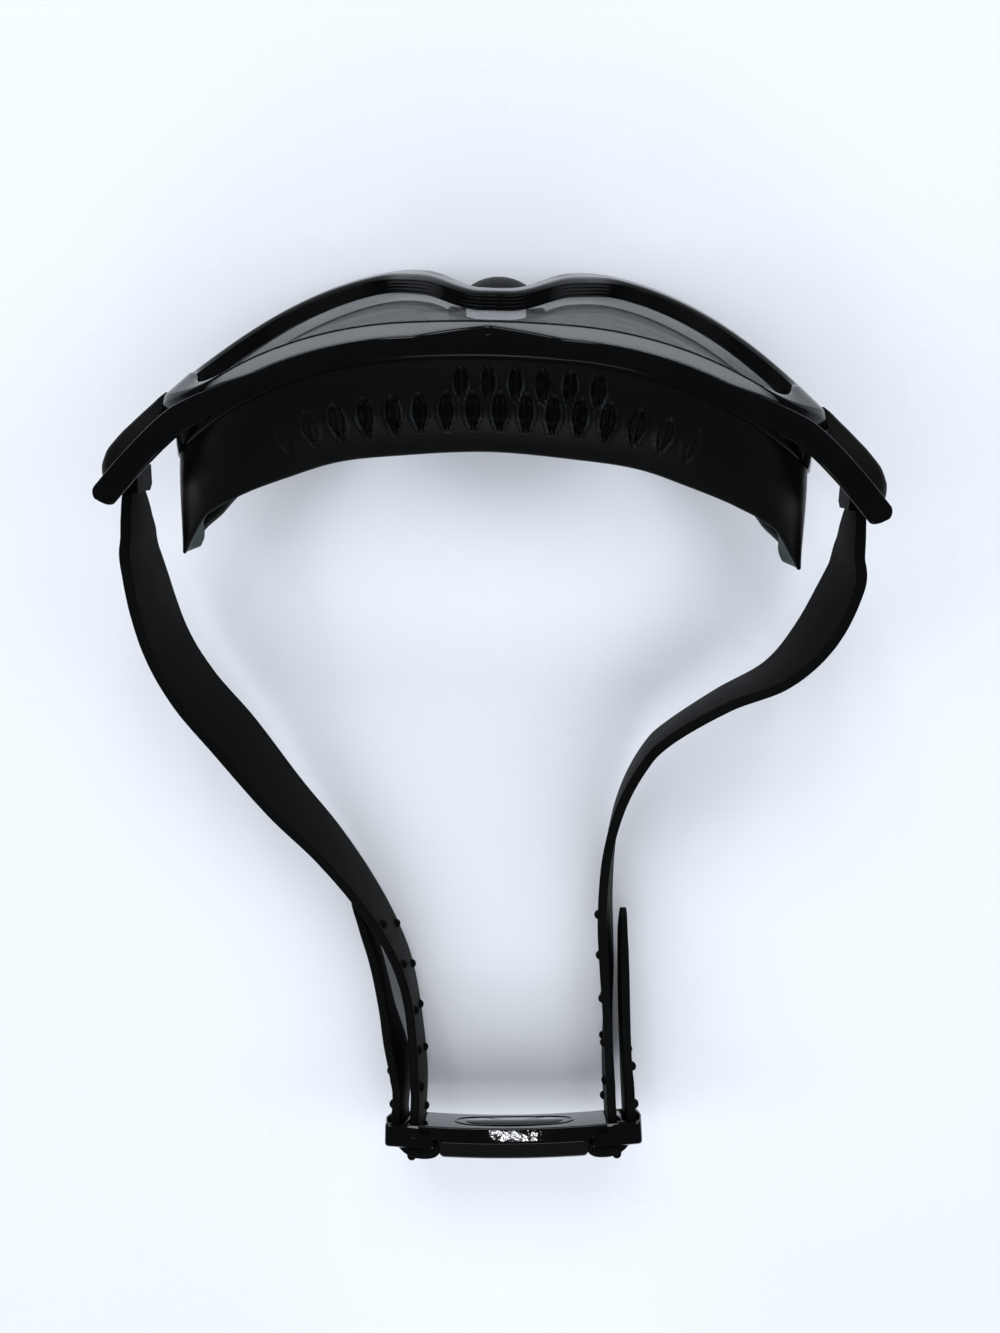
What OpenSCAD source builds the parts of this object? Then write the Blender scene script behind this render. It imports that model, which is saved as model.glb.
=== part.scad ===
// Wide swim goggles with one curved lens, a soft face skirt and a two-part head strap.
// X runs across the face, +Y looks forward, +Z is up; the goggles stand on a flat surface.

/* [Front] */
// Radius of the front's flat middle, at the outside of the lower rim
mid_r = 220; // [200:5:240]
// Half of the width of the front's flat middle
mid_half = 16; // [14:0.5:18]
// Radius of the front's wrapped sides, at the outside of the lower rim
side_r = 87; // [85:0.5:90]
// How far the front leans back from upright, in degrees
lean = 13.7; // [12.5:0.1:14.5]
// Height of the front's own base line above the surface it stands on
foot_z = 3.45; // [3.45:0.05:4]
// How far the datum line of the strap pivots lies ahead of the middle of the overall length
front_ahead = 115.03; // [114:0.01:118]
// Distance from the middle of the face to the roots of the side wings, on the back of the lens
root_x = 64; // [63.5:0.1:64.5]
// Height of the wings' roots along the leaning front
root_h = 46.9; // [46:0.1:48]
// How far the wings' roots lie behind the pivots' datum line
root_back = 37.38; // [37.2:0.02:37.6]

/* [Lens] */
// Thickness of the lens
lens_t = 2.5; // [2:0.1:2.8]
// How far the lens reaches past the sight opening, all round
lens_edge = 3; // [2.4:0.1:3.2]
// Thickness of the seal between the lens and its frame
seal_t = 0.5; // [0.3:0.1:0.8]
// Width of the seal between the lens and its frame
seal_w = 2; // [1:0.1:2.3]

/* [Frame] */
// Depth of the frame behind the lens
frame_t = 2.6; // [2:0.1:3.2]
// How far the frame reaches past the sight opening, all round
frame_edge = 3.6; // [3.4:0.1:4.2]
// Depth of the lower rim's ledge in front of the lens
ledge = 3.9; // [3:0.1:4.5]
// How far the lower rim reaches past the sight opening
lip_edge = 6.5; // [5:0.1:7]
// How far the ledge covers the sight opening
lip_cover = 1.5; // [0.5:0.1:2]
// Thickness of a side wing
wing_t = 3.8; // [3.4:0.1:4.2]
// Height of a side wing
wing_h = 9.5; // [8.5:0.1:9.7]
// Height of the middle of a wing above the surface
wing_mid = 41.2; // [41.2:0.1:42]
// Distance from the middle of the face to the middle of a wing's round end
wing_x = 79.2; // [79:0.1:79.4]
// How far the middle of a wing's round end lies behind the pivots' datum line
wing_back = 50.6; // [50.4:0.1:50.8]

/* [Skirt] */
// Thickness of the soft skirt's wall
skirt_t = 1.8; // [1.2:0.1:2.4]
// Width of the sealing lip that turns inwards at the skirt's rear edge
lip_w = 6; // [3:0.5:8]
// How far the skirt's upper and side walls swell outwards
skirt_swell = 2; // [0:0.1:2.2]

/* [Strap] */
// Width of the strap
strap_w = 20; // [18:0.5:21]
// Thickness of the strap
strap_t = 2.3; // [1.8:0.1:2.5]
// Pitch of the adjusting nubs along the strap
nub_pitch = 11.4; // [8:0.2:12]
// Radius of an adjusting nub
nub_r = 1.4; // [1:0.1:1.8]
// Height of an adjusting nub above the strap's face
nub_h = 1; // [0.6:0.1:1.3]
// Number of nub pairs on the standing part of each strap
nub_pairs = 5; // [2:1:5]

/* [Strap pivots] */
// Distance from the middle of the face to the middle of a strap's eye
pivot_x = 78.6; // [78.5:0.05:78.7]
// Height of the strap pivots above the surface
pivot_z = 30; // [29:0.5:30]
// How far the pivots lie behind their datum line
pivot_back = 48.5; // [48.3:0.1:48.7]
// Radius of a pivot pin
pin_r = 1.25; // [1:0.05:1.5]
// Radius of the eye at the front end of a strap
eye_r = 2.5; // [2.2:0.1:2.7]

/* [Clip] */
// Length of the rear clip
clip_len = 66.2; // [66:0.2:72]
// Height of the rear clip
clip_h = 25.4; // [24.8:0.2:28]
// Thickness of the rear clip at its slots
clip_t = 3.4; // [2.8:0.1:4]
// Thickness of the rear clip's crowned middle
clip_crown = 8; // [6:0.1:9]
// Distance from the clip's middle to the middle of a standing strap
slot_in = 25.6; // [25:0.1:26]
// Width of the bar that a strap turns round
bar_w = 2; // [1.6:0.1:2.2]
// How far the clip's top leans towards the head, in degrees
clip_lean = 30; // [25:0.5:33]
// How far the turns of the strap reach behind the clip's head side
turn_back = 8.2; // [8:0.1:9]

/* [Fits] */
// Clearance between a strap and the slot it passes through, each side
slot_gap = 0.3; // [0.2:0.05:0.5]
// Clearance between parts that lie beside each other
seat_gap = 0.1; // [0.05:0.01:0.15]
// Radial clearance of a strap's eye on its pin
pin_gap = 0.06; // [0.03:0.01:0.1]

/* [Hidden] */
$fn = 64;

// Depths of the wrapped layers, behind the outside of the lower rim
lens_front = ledge;
lens_back = lens_front + lens_t;
frame_front = lens_back + seal_t;
frame_back = frame_front + frame_t;

// Right half of the sight opening, [across, up], from the top middle to the nose arch
SIGHT = [
  [0, 57], [18, 56.6], [32, 55.5], [44, 53.2], [53.5, 49], [60.2, 43], [63.4, 35.3], [61, 27],
  [54, 17.5], [46, 11.3], [38, 7.8], [31, 6.1], [24.5, 7.4], [17.3, 16], [9, 25.4], [0, 28]
];
// Right half of the skirt's rear edge, [across, back, up], point for point with the sight opening
FACE = [
  [0, -27.6, 58], [17.3, -28.9, 57.5], [29, -30.7, 56.7], [39.5, -34.6, 55.1], [49, -39, 53],
  [58, -45, 50], [65.1, -55.5, 45], [64.8, -52.5, 37], [59.6, -47.5, 27.5], [52, -42, 18],
  [43, -36.5, 11], [34, -32.5, 6.8], [26, -28.5, 6], [17, -22.5, 12], [9, -17.5, 20.5],
  [0, -15.5, 24]
];
// Route of the middle of each standing strap, [across, ahead, up, twist in degrees]
ROUTE_LEFT = [
  [-78.6, -60, 28.8, 0], [-78.8, -67, 27.4, 1], [-76.2, -85, 22.9, 6], [-70.7, -98, 20.3, 10],
  [-61.8, -111, 17.4, 12], [-51, -127, 14.5, 8], [-40.8, -140, 12.4, 2], [-31.6, -154, 10.75, -3],
  [-24.3, -168, 10.03, -6], [-19.8, -182, 10.7, -5]
];
ROUTE_RIGHT = [
  [78.6, -60, 28.8, 0], [78.6, -67, 27.4, -5], [74.2, -80, 24, -6], [66.8, -90, 22, 0],
  [55.2, -97, 20.5, 6], [43.4, -106, 18.8, 9], [38, -113, 17.4, 9], [33.6, -124, 15.4, 9],
  [31, -138, 12.7, 9], [30.4, -155, 10.7, 3], [31.3, -170, 10.04, -3], [32.4, -182, 10.7, -4]
];

// A point on a smooth curve through b and c
function smooth(a, b, c, d, t) =
  0.5 * (2 * b + (c - a) * t + (2 * a - 5 * b + 4 * c - d) * t * t
  + (3 * b - a - 3 * c + d) * t * t * t);
// A smooth open curve through the points p, with n steps between neighbours
function open_curve(p, n) =
  let(m = len(p) - 1)
  concat(
    [for (i = [0 : m - 1], k = [0 : n - 1])
      smooth(i == 0 ? 2 * p[0] - p[1] : p[i - 1], p[i], p[i + 1],
             i == m - 1 ? 2 * p[m] - p[m - 1] : p[i + 2], k / n)],
    [p[m]]);
// A smooth closed curve through the points p
function closed_curve(p, n) =
  let(m = len(p))
  [for (i = [0 : m - 1], k = [0 : n - 1])
    smooth(p[(i + m - 1) % m], p[i], p[(i + 1) % m], p[(i + 2) % m], k / n)];
// Both halves of a face-wide loop from its right half
function both_halves(p) =
  concat(p, [for (i = [len(p) - 2 : -1 : 1]) [for (j = [0 : len(p[i]) - 1]) (j == 0 ? -1 : 1) * p[i][j]]]);
function unit(v) = v / norm(v);
// Direction out of a loop at its point i
function out_dir(loop, i) =
  let(m = len(loop), t = loop[(i + 1) % m] - loop[(i + m - 1) % m])
  unit([-t[1], t[0]]);
// A loop moved outwards by d
function grown(loop, d) = [for (i = [0 : len(loop) - 1]) loop[i] + d * out_dir(loop, i)];

SIGHT_STEPS = 4;
sight = closed_curve(both_halves(SIGHT), SIGHT_STEPS);
face_edge = closed_curve(both_halves(FACE), SIGHT_STEPS);

// Bearing at which the flat middle meets a wrapped side, and the middle of that side's curve
side_turn = asin(mid_half / mid_r);
side_x = mid_half - side_r * sin(side_turn);
side_y = (mid_r - side_r) * cos(side_turn) - mid_r;
// Place of the wrapped surface at a distance x from the middle, some depth behind the outside
function wrap_y(x, depth) =
  abs(x) < (mid_r - depth) * sin(side_turn)
    ? sqrt(pow(mid_r - depth, 2) - x * x) - mid_r
    : side_y + sqrt(max(pow(side_r - depth, 2) - pow(abs(x) - side_x, 2), 1));

// How far the foremost point of the lower rim lies ahead of the datum line, so that the wings meet the frame
rim_ahead = root_h * sin(lean) - wrap_y(root_x, lens_back) * cos(lean) - root_back;
// Puts a piece of the leaning front in its place
module on_front() {
  translate([0, front_ahead + rim_ahead, foot_z])
    rotate([lean, 0, 0])
      children();
}
// Puts a piece that is placed from the pivots' datum line
module on_table() {
  translate([0, front_ahead, 0])
    children();
}
// Height of the wrapped layers before they are cut to an outline
layer_h = 90;
// Turn of a wrapped side beyond the flat middle, and the steps of the middle and of a side
side_span = 75;
MIDDLE_STEPS = 4;
SIDE_STEPS = 22;
function arc(middle, r, a) = middle + r * [sin(a), cos(a)];
// Plan of the right half of the wrapped surface at some depth, and of all of it
function right_plan(depth) = concat(
  [for (i = [0 : MIDDLE_STEPS / 2 - 1])
    arc([0, -mid_r], mid_r - depth, 2 * side_turn * i / MIDDLE_STEPS)],
  [for (i = [0 : SIDE_STEPS])
    arc([side_x, side_y], side_r - depth, side_turn + side_span * i / SIDE_STEPS)]);
function plan(depth) =
  let(p = right_plan(depth))
  concat([for (i = [len(p) - 1 : -1 : 1]) [-p[i][0], p[i][1]]], p);
// Wrapped layer between two depths
module layer(from_depth, to_depth) {
  back = plan(to_depth);
  translate([0, 0, -layer_h / 4])
    linear_extrude(height = layer_h)
      polygon(concat(plan(from_depth), [for (i = [len(back) - 1 : -1 : 0]) back[i]]));
}
// Solid with a front outline, all through the wrapped depth
module through(outline) {
  translate([0, mid_half, 0])
    rotate([90, 0, 0])
      linear_extrude(height = side_r + mid_half)
        polygon(outline);
}
// Wrapped band between two outlines
module band(from_depth, to_depth, inner, outer) {
  intersection() {
    layer(from_depth, to_depth);
    translate([0, mid_half, 0])
      rotate([90, 0, 0])
        linear_extrude(height = side_r + mid_half)
          difference() {
            polygon(outer);
            polygon(inner);
          }
  }
}

module lens() {
  color([0.82, 0.86, 0.9, 0.35])
    on_front()
      intersection() {
        layer(lens_front, lens_back);
        through(grown(sight, lens_edge));
      }
}

module lens_seal() {
  color("dimgray")
    on_front()
      band(lens_back, frame_front, grown(sight, lens_edge - seal_w), grown(sight, lens_edge - seat_gap));
}

// Turn of a wing away from straight ahead, and its length from its root to its round end
wing_turn = 45;
wing_root = 21;
// Puts a piece on the outer face of a wing: X runs back along it, Y away from it
module on_wing(side) {
  on_table()
    mirror([side < 0 ? 1 : 0, 0, 0])
      translate([wing_x, -wing_back, 0])
        rotate([0, 0, -wing_turn])
          translate([0, wing_t / 2, 0])
            children();
}
module wing(side) {
  on_wing(side)
    translate([0, -wing_t / 2, wing_mid - wing_h / 2]) {
      cylinder(r = wing_t / 2, h = wing_h);
      translate([-wing_root, -wing_t / 2, 0])
        cube([wing_root, wing_t, wing_h]);
    }
}
// Hole for a pivot pin, and the pin's reach on either side of the middle of a strap's eye
pin_reach_in = 2.5;
pin_reach_out = 3.2;
module pin_hole(side, gap) {
  translate([side * (pivot_x - pin_reach_in), -pivot_back, pivot_z])
    rotate([0, side * 90, 0])
      cylinder(r = pin_r + gap, h = pin_reach_in + pin_reach_out + gap);
}

module frame() {
  color([0.03, 0.03, 0.035]) {
    on_front()
      band(frame_front, frame_back, sight, grown(sight, frame_edge));
    difference() {
      union() {
        wing(-1);
        wing(1);
      }
      on_front() {
        intersection() {
          layer(-wing_root, frame_front);
          through(grown(sight, lens_edge + seat_gap));
        }
        intersection() {
          layer(frame_back - seat_gap, side_r / 2);
          through(grown(sight, frame_edge + slot_gap));
        }
      }
    }
  }
}

// The lower rim runs from one wing to the other, below this height
rim_top = 32.5;
module lower_rim() {
  color([0.05, 0.05, 0.055])
    on_front()
      intersection() {
        union() {
          band(0, frame_back, grown(sight, frame_edge + seat_gap), grown(sight, lip_edge));
          band(0, lens_front - seat_gap, grown(sight, -lip_cover), grown(sight, lip_edge));
        }
        translate([-layer_h, -side_r, -layer_h / 4])
          cube([2 * layer_h, 2 * side_r, rim_top + layer_h / 4]);
      }
}

// Turn of the sealing lip towards the front, and how thick the lip is at its root and its edge
lip_rise = 0.45;
lip_root = 1.2;
lip_tip = 0.8;
// Point of the skirt's front face, which lies on the back of the frame
skirt_front = frame_back + seat_gap;
function skirt_seat(f) = [f[0], wrap_y(f[0], skirt_front), f[1]];
// One cross-section of the skirt's wall, at point i of the sight opening
function skirt_ring(i) =
  let(
    n = out_dir(sight, i),
    a = skirt_seat(sight[i] + (frame_edge - skirt_t) * n),
    b = face_edge[i],
    out = [n[0], 0, n[1]],
    swell = skirt_swell * max(0, n[1]),
    mid = (a + b) / 2 + 2 * swell * out,
    lip_dir = unit([-n[0], lip_rise, -n[1]]),
    thin = skirt_t * out,
    outer = [for (t = [0 : 0.25 : 1]) (1 - t) * (1 - t) * a + 2 * t * (1 - t) * mid + t * t * b],
    tip = b + lip_w * lip_dir
  )
  concat(
    [skirt_seat(sight[i] + frame_edge * n)],
    [for (k = [1 : 4]) outer[k] + thin],
    [tip + lip_tip / 2 * out],
    [tip + [0, lip_tip, 0]],
    [for (k = [4 : -1 : 0]) outer[k] + (k == 4 ? [0, lip_root, 0] : [0, 0, 0])]
  );
// Closed solid through rings of points, which themselves form a closed loop
module loop_skin(rings) {
  m = len(rings);
  n = len(rings[0]);
  polyhedron(
    points = [for (r = rings, p = r) p],
    faces = [
      for (i = [0 : m - 1], j = [0 : n - 1], k = [0, 1])
        let(
          a = i * n + j,
          b = i * n + (j + 1) % n,
          c = (i + 1) % m * n + (j + 1) % n,
          d = (i + 1) % m * n + j
        )
        k == 0 ? [a, b, c] : [a, c, d]
    ]);
}
// Closed solid through rings of points, with flat ends
module tube_skin(rings) {
  m = len(rings);
  n = len(rings[0]);
  polyhedron(
    points = [for (r = rings, p = r) p],
    faces = concat(
      [for (i = [0 : m - 2], j = [0 : n - 1], k = [0, 1])
        let(a = i * n + j, b = i * n + (j + 1) % n, c = a + n, d = b + n)
        k == 0 ? [a, b, d] : [a, d, c]],
      [[for (j = [n - 1 : -1 : 0]) j]],
      [[for (j = [0 : n - 1]) (m - 1) * n + j]]
    ));
}

module skirt() {
  color([0.06, 0.06, 0.065])
    on_front()
      loop_skin([for (i = [0 : len(sight) - 1]) skirt_ring(i)]);
}

// Soft bridge below the nose arch, with a round dome in front
bridge_r = 9.3;
bridge_z = 6;
bridge_front = 1.6;
bridge_half = 12.5;
bridge_depth = 5.5;
bridge_foot = 2;
bridge_top = 24;
module nose_bridge() {
  color([0.1, 0.11, 0.11])
    on_front()
      difference() {
        union() {
          translate([-bridge_half, -frame_back, bridge_foot])
            cube([2 * bridge_half, frame_back - bridge_depth, bridge_top - bridge_foot]);
          intersection() {
            translate([0, -bridge_front - bridge_r, bridge_z])
              sphere(r = bridge_r, $fn = 48);
            translate([-bridge_half, -frame_back, -bridge_foot / 2])
              cube([2 * bridge_half, frame_back, bridge_top]);
          }
        }
        through(grown(sight, lip_edge + seat_gap));
      }
}

// Bracket below a wing that holds the inner end of a strap pivot: a foot and a cheek
cheek_in = 2.5;
cheek_t = 1.05;
cheek_h = 11;
cheek_front = 3;
cheek_back = 2.6;
cheek_corner = 1.4;
foot_t = 2.4;
foot_in = 3.5;
foot_out = 1.2;
module collar(side) {
  bracket_top = wing_mid - wing_h / 2 - seat_gap - pivot_z;
  color([0.04, 0.04, 0.045])
    difference() {
      on_table()
        translate([side * pivot_x, -pivot_back, pivot_z])
          mirror([side < 0 ? 1 : 0, 0, 0]) {
            translate([-cheek_in, 0, 0])
              rotate([90, 0, 90])
                linear_extrude(height = cheek_t)
                  polygon([
                    [cheek_front, bracket_top], [-cheek_back, bracket_top],
                    [-cheek_back, bracket_top - cheek_h + cheek_corner],
                    [cheek_corner - cheek_back, bracket_top - cheek_h],
                    [cheek_front, bracket_top - cheek_h]
                  ]);
            translate([-foot_in, -cheek_back, bracket_top - foot_t])
              cube([foot_in + foot_out, cheek_back + cheek_front, foot_t]);
          }
      on_table()
        pin_hole(side, seat_gap / 2);
      on_wing(side)
        translate([-wing_root, 0, 0])
          cube([2 * wing_root, wing_root, wing_mid]);
    }
}
module collar_left() { collar(-1); }
module collar_right() { collar(1); }

module pivot_pin(side) {
  color("silver")
    on_table()
      pin_hole(side, 0);
}
module pivot_pin_left() { pivot_pin(-1); }
module pivot_pin_right() { pivot_pin(1); }

// Plan of a pivot cover, [back from its free tip, away from the wing], and its side view
COVER_PLAN = [
  [0, 5], [6.5, 5.4], [12.5, 5.4], [17, 5.2], [21, 4], [24, 2.2], [24.6, 0],
  [9.5, 0], [6.5, 1.6], [2, 2.9]
];
cover_h = 16;
cover_z = 32;
cover_tip = 22.4;
cover_len = 24.6;
// Heights of the two corners of the cover's tip above its middle
tip_low = 2.4;
tip_high = 5;
// Space round a strap's eye
eye_gap = 0.35;
slot_w = strap_t + 2 * slot_gap;
module pivot_cover(side) {
  color([0.09, 0.09, 0.1])
    difference() {
      on_wing(side)
        translate([-cover_tip, seat_gap, cover_z])
          intersection() {
            translate([0, 0, -cover_h])
              linear_extrude(height = 2 * cover_h)
                polygon(COVER_PLAN);
            translate([0, cover_h, 0])
              rotate([90, 0, 0])
                linear_extrude(height = 2 * cover_h)
                  polygon(concat(
                    [for (a = [-100 : 10 : 100])
                      [cover_len - cover_h / 2 + cos(a) * cover_h / 2, sin(a) * cover_h / 2]],
                    [[0, tip_high], [0, tip_low]]));
          }
      on_table() {
        pin_hole(side, seat_gap / 2);
        translate([side * pivot_x, -pivot_back, pivot_z])
          rotate([0, 90, 0])
            cylinder(r = eye_r + eye_gap, h = slot_w, center = true);
      }
    }
}
module pivot_cover_left() { pivot_cover(-1); }
module pivot_cover_right() { pivot_cover(1); }

// Place of the middle of the clip's head side behind the datum line, and its turn to the right
clip_x = 9;
clip_back = 215.6;
clip_z = 18;
clip_turn = 3.4;
slot_out = slot_in + strap_t + bar_w + 2 * slot_gap;
module on_clip() {
  translate([clip_x, front_ahead - clip_back, clip_z])
    rotate([0, 0, clip_turn])
      rotate([-clip_lean, 0, 0])
        children();
}
// Point of the clip, [across, towards the head], placed from the pivots' datum line
function clip_point(u, n) =
  let(y = n * cos(clip_lean), z = -n * sin(clip_lean))
  [
    clip_x + u * cos(clip_turn) - y * sin(clip_turn),
    -clip_back + u * sin(clip_turn) + y * cos(clip_turn),
    clip_z + z,
    0
  ];
leg_out = 1;
leg_gap = 0.2;
lead_in = 13;
lead_mid = 6;
// Last points of a route, straight into the clip up to the turn's leg
function into_clip(u) = [for (n = [lead_in, lead_mid, leg_out + leg_gap]) clip_point(u, n)];

function place(p) = [p[0], p[1], p[2]];
// Strap section, rounded at its corners, [through the thickness, across the width]
corner = 0.6;
function strap_section(w) =
  let(a = strap_t / 2, b = w / 2)
  [
    [-a + corner, -b], [a - corner, -b], [a, -b + corner], [a, b - corner],
    [a - corner, b], [-a + corner, b], [-a, b - corner], [-a, -b + corner]
  ];
// Direction of a route at its point i
function heading(c, i) =
  unit(place(c[min(i + 1, len(c) - 1)]) - place(c[max(i - 1, 0)]));
// Directions across a strap's width and through its thickness, at point i of its route
function across(c, i) =
  let(t = heading(c, i), up = unit([0, 0, 1] - t * t[2]), s = cross(t, up), a = c[i][3])
  [up * cos(a) + s * sin(a), s * cos(a) - up * sin(a)];
function strap_ring(c, i, w) =
  let(d = across(c, i))
  [for (q = strap_section(w)) place(c[i]) + q[0] * d[1] + q[1] * d[0]];
// Distance run along a route up to its point i
function run(c, i) = i == 0 ? 0 : run(c, i - 1) + norm(place(c[i]) - place(c[i - 1]));

STRAP_STEPS = 3;
route_left = open_curve(concat(ROUTE_LEFT, into_clip(-slot_in)), STRAP_STEPS);
route_right = open_curve(concat(ROUTE_RIGHT, into_clip(slot_in)), STRAP_STEPS);

// Height of the nub rows above and below the strap's middle line
nub_row = strap_w * 0.3;
// Distance from the clip to the nearest pair of nubs
nub_start = 8;
// How far a nub is sunk into its strap
nub_sink = 0.2;
module nub(c, at, row, side) {
  i = max([for (k = [0 : len(c) - 1]) run(c, k) <= at ? k : 0]);
  f = (at - run(c, i)) / max(run(c, min(i + 1, len(c) - 1)) - run(c, i), 0.01);
  p = place(c[i]) * (1 - f) + place(c[min(i + 1, len(c) - 1)]) * f;
  d = across(c, i);
  out = side * d[1];
  middle = p + row * d[0] + out * (strap_t / 2 + nub_h / 2 - nub_sink);
  translate(middle)
    rotate([0, acos(out[2]), atan2(out[1], out[0])])
      cylinder(r = nub_r, h = nub_h + 2 * nub_sink, center = true, $fn = 24);
}

// Side view of a strap's neck, [behind its eye, above it], and the neck's width at its end
NECK = [
  [0, eye_r], [-eye_r, eye_r], [-6.5, 4.6], [-12, 6], [-12, -8.3], [-6.5, -6.6],
  [-eye_r, -eye_r], [0, -eye_r]
];
neck_w = 14;
// Length over which a strap grows from its neck to its full width
shoulder = 8;
function strap_width(s) = s > shoulder ? strap_w : neck_w + (strap_w - neck_w) * sin(90 * s / shoulder);
module standing_strap(c, side) {
  total = run(c, len(c) - 1);
  difference() {
    union() {
      tube_skin([for (i = [0 : len(c) - 1]) strap_ring(c, i, strap_width(run(c, i)))]);
      for (k = [0 : nub_pairs - 1], row = [-nub_row, nub_row])
        nub(c, total - nub_start - k * nub_pitch, row, side);
      translate([side * pivot_x, -pivot_back, pivot_z])
        rotate([90, 0, 90])
          translate([0, 0, -strap_t / 2])
            linear_extrude(height = strap_t)
              polygon(NECK);
      translate([side * pivot_x, -pivot_back, pivot_z])
        rotate([0, 90, 0])
          cylinder(r = eye_r, h = strap_t, center = true);
    }
    pin_hole(side, pin_gap);
  }
}
module strap_left() {
  color([0.07, 0.07, 0.075])
    on_table()
      standing_strap(route_left, -1);
}
module strap_right() {
  color([0.07, 0.07, 0.075])
    on_table()
      standing_strap(route_right, 1);
}

// Round-cornered outline of the clip's plate
plate_r = 3;
module plate_outline(l, h, r) {
  for (x = [-1, 1], y = [-1, 1])
    translate([x * (l / 2 - r), y * (h / 2 - r)])
      circle(r = r);
  square([l - 2 * r, h], center = true);
  square([l, h - 2 * r], center = true);
}
// Block of the clip with a front outline, from depth n1 to depth n0
module clip_block(n1, n0) {
  translate([0, n0, 0])
    rotate([90, 0, 0])
      linear_extrude(height = n0 - n1)
        children();
}
crown_half = slot_in - 6;
crown_slope = 1.5;
top_bevel = 3.6;
side_bevel = 5.2;
rail_w = clip_len / 2 - slot_out - strap_t / 2 - slot_gap;
rail_step = 1;
inlay_len = 26;
inlay_h = 11;
inlay_t = 0.8;
// How far a cut runs past the face it starts from, so that no skin is left
overlap = 0.01;
module clip_crown_block() {
  intersection() {
    rotate([90, 0, 90])
      translate([0, 0, -crown_half])
        linear_extrude(height = 2 * crown_half)
          polygon([
            [0, clip_h / 2], [-top_bevel, clip_h / 2], [-clip_crown, clip_h / 2 - side_bevel],
            [-clip_crown, side_bevel - clip_h / 2], [-top_bevel, -clip_h / 2], [0, -clip_h / 2]
          ]);
    translate([0, 0, -clip_h])
      linear_extrude(height = 2 * clip_h)
        polygon([
          [-crown_half, 0], [-crown_half, -clip_t], [crown_slope - crown_half, -2 * clip_crown],
          [crown_half - crown_slope, -2 * clip_crown], [crown_half, -clip_t], [crown_half, 0]
        ]);
  }
}
module clip_body() {
  bar_middle = (slot_in + slot_out) / 2;
  slot_len = strap_w + 2 * slot_gap;
  color([0.02, 0.02, 0.025])
    on_clip()
      difference() {
        union() {
          clip_block(-clip_t, 0)
            plate_outline(clip_len, clip_h, plate_r);
          clip_crown_block();
          for (side = [-1, 1])
            clip_block(-clip_t - rail_step, rail_step)
              translate([side * (clip_len - rail_w) / 2, 0])
                square([rail_w, clip_h - 2 * plate_r], center = true);
        }
        for (side = [-1, 1]) {
          clip_block(-2 * clip_crown, clip_crown)
            translate([side * slot_in, 0])
              square([slot_w, slot_len], center = true);
          clip_block(-2 * clip_crown, clip_crown)
            translate([side * slot_out, 0])
              square([slot_w, slot_len], center = true);
          difference() {
            translate([side * bar_middle - bar_w / 2 - overlap, -clip_t - 1, -slot_len / 2])
              cube([bar_w + 2 * overlap, 1 + bar_w / 2, slot_len]);
            translate([side * bar_middle, -clip_t + bar_w / 2, -slot_len])
              cylinder(r = bar_w / 2, h = 2 * slot_len);
          }
        }
        clip_block(-inlay_t, 1)
          plate_outline(inlay_len + 2 * seat_gap, inlay_h + 2 * seat_gap, inlay_h / 2 + seat_gap - overlap);
      }
}
module clip_inlay() {
  color([0.06, 0.06, 0.07])
    on_clip()
      clip_block(-inlay_t + seat_gap / 2, 0.2)
        plate_outline(inlay_len, inlay_h, inlay_h / 2 - overlap);
}
// Outer and inner sides of a strap's turn round its bar, [across, towards the head]
leg = strap_t / 2;
TURN_OUT = [
  [slot_in - leg, -clip_t], [slot_in - leg - 0.9, -clip_t - 0.5], [slot_in - 3.7, -clip_t - 0.7],
  [slot_in - 4.7, -clip_t - 2], [slot_in - 4.2, -turn_back + 1], [slot_in - 2.4, -turn_back],
  [slot_in + 1, -turn_back], [slot_out - 1.4, -turn_back + 0.8], [slot_out + 0.5, -turn_back + 2.5],
  [slot_out + leg, -clip_t - 0.6], [slot_out + leg, -clip_t]
];
TURN_IN = [
  [slot_out - leg, -clip_t], [slot_out - leg - 0.2, -clip_t - 0.8], [slot_out - 2.2, -turn_back + 3],
  [slot_in + 1.4, -turn_back + strap_t], [slot_in - 0.4, -turn_back + 2.6],
  [slot_in + leg - 0.3, -clip_t - 1.2], [slot_in + leg, -clip_t]
];
turn_side = concat(
  [[slot_in - leg, leg_out]], open_curve(TURN_OUT, 3), [[slot_out + leg, leg_out]],
  [[slot_out - leg, leg_out]], open_curve(TURN_IN, 3), [[slot_in + leg, leg_out]]);
// Turn of a strap behind the clip, with its two legs in the slots
module strap_turn(side) {
  color([0.07, 0.07, 0.075])
    on_clip()
      mirror([side < 0 ? 1 : 0, 0, 0]) {
        translate([0, 0, -strap_w / 2])
          linear_extrude(height = strap_w)
            polygon(turn_side);
        for (row = [-nub_row, nub_row])
          translate([slot_in + nub_r, nub_r / 2 - turn_back, row])
            rotate([90, 0, 0])
              cylinder(r = nub_r, h = nub_h + nub_r / 2, $fn = 24);
      }
}
module strap_turn_left() { strap_turn(-1); }
module strap_turn_right() { strap_turn(1); }

// Routes of the free tails, from their tips to the clip
TAIL_LEFT = [
  [-33.1, -157, 10.4, 0], [-30.7, -163.5, 10.2, 0], [-28, -172, 10.1, 0],
  [-25.7, -183, 10.2, 0], [-24, -193, 10.6, 0]
];
TAIL_RIGHT = [
  [34.9, -157.5, 10.4, 0], [35.2, -163.5, 10.2, 0], [35.8, -173, 10.1, 0],
  [36.5, -183, 10.2, 0], [37.4, -193, 10.6, 0]
];
tail_left_route = open_curve(concat(TAIL_LEFT, into_clip(-slot_out)), 4);
tail_right_route = open_curve(concat(TAIL_RIGHT, into_clip(slot_out)), 4);
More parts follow.
